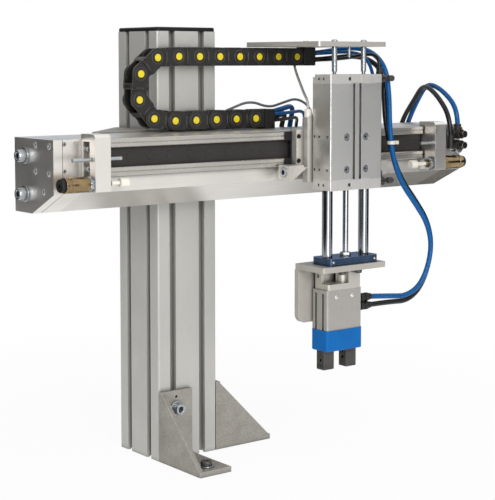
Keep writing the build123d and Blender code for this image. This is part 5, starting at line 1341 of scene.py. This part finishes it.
@dataclass
class LinearAxis:
    """Beam with its end caps, rails, stops, absorbers, sensors and air connections.

    The stop faces are the outer ones. The lower control's port stands beside it, on a side arm.
    """

    left_stop_face_x: float = -184.9
    right_stop_face_x: float = 304.0
    stop_width: float = 18.0
    barrel_radius: float = 8.0
    barrel_length: float = 32.0
    knob_radius: float = 7.0
    knob_length: float = 4.5
    thread_radius: float = 4.5
    thread_pitch: float = 1.0
    nut_half_flats: float = 7.0
    nut_length: float = 5.0
    control_x: float = 337.0
    control_heights: tuple = (362.6, 349.1)
    control_standoff: float = 3.0
    control_port_reach: float = 11.0
    side_arm_length: float = 12.0
    finishes: dict = field(default_factory=lambda: {
        "beam": BEAM, "left_end_cap": END_PLATE, "right_end_cap": END_PLATE, "guide_rails": RAIL,
        "rail_cover": BAND, "stop_brackets": END_PLATE, "left_buffer": ACETAL, "right_buffer": ACETAL,
        "end_sensors": ZINC, "upper_throttle_screw": SMOKED,
        "lower_throttle_screw": SMOKED, "tube_manifold": BLACK})

    def barrel_shape(self, nut_inside: bool) -> Shape:
        """Absorber body along z from its tail.

        Args:
            nut_inside: whether the lock nut sits beyond the bracket.

        Returns:
            Barrel with a groove and a chamfered end, then the threaded shank and its ring.
        """
        tail = self.knob_length
        end = tail + self.barrel_length - (0 if nut_inside else self.nut_length)
        tip = tail + self.barrel_length + self.stop_width + (self.nut_length if nut_inside else 0)
        radius, shank = self.barrel_radius, self.thread_radius - 0.6
        outline = rounded_rows([(self.knob_radius - 1, tail), (radius, tail), (radius, tail + 6),
                                (radius - 0.6, tail + 6.3), (radius - 0.6, tail + 7.5), (radius, tail + 7.8),
                                (radius, end), (shank, end)], 0.5)
        rows = outline + threaded(self.thread_radius, end + 0.5, tip, self.thread_pitch)
        return spun(rows + [(3.5, tip), (3.5, tip + 3.6), (3.1, tip + 4), (2.3, tip + 4), (2.3, tip - 6)])

    def knob_shape(self) -> Shape:
        """Adjusting knob at the tail, knurled.

        Returns:
            The knob along z, with a hexagonal socket that opens at z = 0.
        """
        knurl = Ring.KNURLED
        rows = [(2.0, 2.5, Ring.HEXAGON), (2.0, 0.3, Ring.HEXAGON), (2.6, 0), (self.knob_radius - 0.6, 0),
                (self.knob_radius, 0.6, knurl), (self.knob_radius, self.knob_length - 0.4, knurl),
                (self.knob_radius - 1, self.knob_length)]
        return spun(rows, 96)

    def nut_shape(self) -> Shape:
        """Lock nut with chamfered corners.

        Returns:
            The nut on z = 0, with an open bore.
        """
        half, size, bore = Ring.HEXAGON, self.nut_half_flats, self.thread_radius + 0.2
        rows = [(bore, 0), (size - 0.1, 0), (size, 0.5, half), (size, self.nut_length - 0.5, half),
                (size - 0.1, self.nut_length), (bore, self.nut_length), (bore, 0)]
        return spun(rows, 48, False)

    def pair(self, left: Shape, left_x: float, right: Shape, right_x: float) -> Shape:
        """Puts two shapes on the absorbers' line, so that both point inwards.

        Args:
            left: shape that points right.
            left_x: its place.
            right: shape that points left.
            right_x: its place.

        Returns:
            Both as one shape.
        """
        first = left.placed((left_x, *STOP_AXIS), Facing.RIGHT)
        return first + right.placed((right_x, *STOP_AXIS), Facing.LEFT)

    def absorbers(self) -> None:
        """Builds both shock absorbers with their knobs and lock nuts."""
        length = self.knob_length + self.barrel_length
        left, right = self.left_stop_face_x - length, self.right_stop_face_x + length
        knob, nut = self.knob_shape(), self.nut_shape()
        barrels = self.pair(self.barrel_shape(False), left, self.barrel_shape(True), right)
        add_rider("absorber_barrels", barrels, NICKEL, "frame", "shock_absorbers")
        add_rider("absorber_knobs", self.pair(knob, left, knob, right), BLACK, "frame")
        nuts = self.pair(nut, self.left_stop_face_x - self.nut_length,
                         nut, self.right_stop_face_x - self.stop_width)
        add_rider("absorber_nuts", nuts, ZINC, "frame")

    def flow_controls(self) -> None:
        """Builds both flow controls: steel hexagon, ringed body, side arm and upright tube port."""
        half = Ring.HEXAGON
        body = spun(rounded_rows([(4.4, 4), (5.9, 4), (5.9, 7.5), (5.2, 8), (5.2, 9), (5.9, 9.5), (5.9, 15),
                                  (5.3, 15.8), (5.3, 16.6), (5.9, 17.2), (5.9, 18.4), (2.1, 18.4),
                                  (2.1, 14)], 0.3))
        nut = spun([(4.4, -3), (4.4, 0), (5.6, 0), (6, 0.4, half), (6, 3.6, half), (5.6, 4), (4.4, 4)])
        port = spun([(4.0, -4), (4.6, -3.4), (4.6, 7.6), (4.2, 8), (4.2, 9), (4.6, 9.4), (4.6, 11.4),
                     (4.1, 12), (3.15, 12), (3.15, 9)], 36)
        arm = spun([(3.9, 0), (3.9, self.side_arm_length)], 36)
        x, y = self.control_x, BEAM_FRONT - self.control_standoff
        high, low = self.control_heights
        port_y, side_x = y - self.control_port_reach, x - self.side_arm_length
        bodies = [body.placed((x, y, high), Facing.FRONT), port.placed((x, port_y, high)),
                  body.placed((x, y, low), Facing.FRONT), port.placed((side_x, port_y, low)),
                  arm.placed((side_x, port_y, low), Facing.RIGHT)]
        nuts = [nut.placed((x, y, z), Facing.FRONT) for z in self.control_heights]
        add_rider("flow_control_bodies", joined(bodies), CHAIN, "frame", "flow_controls")
        add_rider("flow_control_nuts", joined(nuts), ZINC, "frame")

    def build(self) -> None:
        """Dresses the axis and adds the absorbers and the flow controls."""
        dress(self.finishes)
        self.absorbers()
        self.flow_controls()


@dataclass
class Lift:
    """Carriage, guided cylinder, plate above it and its air fittings.

    Plug spots are x and z. A fitting's port stands some way right of the cylinder.
    """

    stop_screw_heads: tuple = ((58.6, Facing.LEFT), (204.8, Facing.RIGHT))
    plug_spots: tuple = ((81.6, 368), (81.6, 341), (181.8, 368), (181.8, 341))
    plug_front_y: float = -139.8
    cylinder_right_x: float = 169.8
    fitting_heights: tuple = (314.75, 431.35)
    fitting_port_reach: float = 12.0
    finishes: dict = field(default_factory=lambda: {
        "carriage_block": MILLED, "carriage_ends": MILLED, "rail_wipers": BLACK,
        "adapter_plate": GRIPPER, "cylinder_body": CYLINDER, "upper_cylinder_cap": CYLINDER_CAP,
        "lower_cylinder_cap": CYLINDER_CAP, "cylinder_screws": ZINC, "guide_bushes": BRONZE,
        "top_plate": MILLED, "plate_posts": ZINC, "sensor_plug": ACETAL})

    def stop_screws(self) -> None:
        """Builds the stop screws in the lugs and the black plugs beside the adapter plate."""
        half = Ring.HEXAGON
        screw = spun([(4, -13), (4, -1), (5.7, -1), (5.75, -0.8), (5.75, -0.3), (5.4, 0), (3.1, 0),
                      (2.5, -0.4, half), (2.5, -4, half)])
        plug = spun([(2.4, -5.4), (2.4, -0.4), (2.1, 0), (1.2, 0), (1.1, -0.3, half), (1.1, -2, half)], 30)
        steel = joined([screw.placed((x, *STOP_AXIS), facing) for x, facing in self.stop_screw_heads])
        black = joined([plug.placed((x, self.plug_front_y, z), Facing.FRONT) for x, z in self.plug_spots])
        add_rider("stop_screws", steel, ZINC, "carriage", "carriage_screws")
        add_rider("carriage_plugs", black, BLACK, "carriage")

    def fittings(self) -> None:
        """Builds the cylinder's flow controls: ringed body, upright port, waist and knurled knob."""
        knurl = Ring.KNURLED
        body = spun([(2.5, -2.8), (2.5, 0), (4.3, 0), (5, 0.6), (5, 5), (4.6, 5.3), (4.6, 6), (5, 6.3),
                     (5, 17.6), (4.2, 19), (2, 19.4), (2, 24.6), (3.1, 25), (3.5, 25.6, knurl),
                     (3.5, 32.2, knurl), (2.9, 33), (1.2, 33), (1.1, 31.5)], 96)
        port = spun([(3.4, -3.4), (4, -2.8), (4, 8), (3.6, 8.4), (3.6, 9.2), (4, 9.6), (4, 11.4), (3.5, 12),
                     (2.15, 12), (2.15, 9)], 36)
        shapes = []
        for z in self.fitting_heights:
            shapes += [body.placed((self.cylinder_right_x, ROD_Y, z), Facing.RIGHT),
                       port.placed((self.cylinder_right_x + self.fitting_port_reach, ROD_Y, z))]
        add_rider("cylinder_flow_controls", joined(shapes), CHAIN, "carriage", "cylinder_fittings")

    def build(self) -> None:
        """Dresses the lift and adds its screws and fittings."""
        dress(self.finishes)
        self.stop_screws()
        self.fittings()


@dataclass
class Ram:
    """Rods, yoke, gripper and jaws.

    The yoke's set screws stand on both sides of the piston rod.
    """

    piston_rod_x: float = 131.7
    yoke_top_z: float = 233.8
    plate_screws_x: tuple = (119.7, 143.7)
    plate_screw_y: float = -169.0
    plate_underside_z: float = 219.0
    set_screws_x: tuple = (116.45, 140.05)
    set_screws_yz: tuple = (-163.0, 188.0)
    yoke_screw_offset: float = 30.5
    yoke_screws_yz: tuple = (-176.0, 229.6)
    gripper_right_x: float = 153.8
    fitting_y: float = -151.9
    fitting_heights: tuple = (181.6, 171.8)
    finishes: dict = field(default_factory=lambda: {
        "guide_rods": CHROME, "piston_rod": CHROME, "yoke": YOKE,
        "gripper_bracket": MATT, "gripper_mount": MILLED, "gripper_body": GRIPPER,
        "gripper_cover": BLUE_COVER, "jaw_left": JAW, "jaw_right": JAW,
        "tube_tie": ACETAL})

    def fasteners(self) -> None:
        """Builds the rod's nut, the plate's screws, and the bright set screws of gripper and yoke."""
        half = Ring.HEXAGON
        nut = spun([(3.35, 0), (5.2, 0), (5.5, 0.4, half), (5.5, 3.6, half), (5.2, 4), (3.35, 4), (3.35, 0)],
                   48, False).placed((self.piston_rod_x, ROD_Y, self.yoke_top_z))
        head = socket_head(4.25, 5.0, 4.0)
        pin = spun([(2, -7), (2, -0.1), (2.6, 0), (2.55, 0.35), (1.9, 0.8), (0.6, 0.95)], 36)
        plug = spun([(1.7, -5.6), (1.7, -0.7), (1.3, -0.3), (0.4, -0.2)], 30)
        dark = [head.placed((x, self.plate_screw_y, self.plate_underside_z), Facing.DOWN)
                for x in self.plate_screws_x]
        bright = [pin.placed((x, *self.set_screws_yz), Facing.FRONT) for x in self.set_screws_x]
        for side in (-1, 1):
            x = self.piston_rod_x + side * self.yoke_screw_offset
            bright.append(plug.placed((x, *self.yoke_screws_yz), Facing.FRONT))
        add_rider("rod_nut", nut, ZINC, "ram", "yoke_fasteners")
        add_rider("plate_screws", joined(dark), JAW, "ram")
        add_rider("gripper_set_screws", joined(bright), POLISHED, "ram")

    def fittings(self) -> None:
        """Builds the gripper's two push-in fittings: hexagon, waisted body and release ring."""
        half = Ring.HEXAGON
        fitting = spun([(2.5, -4.5), (2.5, 0), (3.9, 0), (4.2, 0.4, half), (4.2, 5, half), (3.2, 5.6),
                        (3, 7.2), (4.7, 8), (4.85, 8.4), (4.85, 12), (3.5, 12.7), (3.5, 14), (4.85, 14.7),
                        (4.85, 19), (3, 20.4), (3, 21.2), (3.7, 21.6), (3.7, 23.6), (3.4, 24), (3.1, 24),
                        (3.1, 21)])
        both = [fitting.placed((self.gripper_right_x, self.fitting_y, z), Facing.RIGHT)
                for z in self.fitting_heights]
        add_rider("gripper_push_in_fittings", joined(both), CHAIN, "ram", "gripper_fittings")

    def build(self) -> None:
        """Dresses the ram and adds its fasteners and fittings."""
        dress(self.finishes)
        self.fasteners()
        self.fittings()


def main() -> None:
    """Builds the studio, the lines, and every sub-assembly."""
    logging.basicConfig(level=logging.INFO, format="%(message)s")
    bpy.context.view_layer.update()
    Studio().build()
    AirLines().build()
    EnergyChain().build()
    Stand().build()
    LinearAxis().build()
    Lift().build()
    Ram().build()


if __name__ == "__main__":
    main()
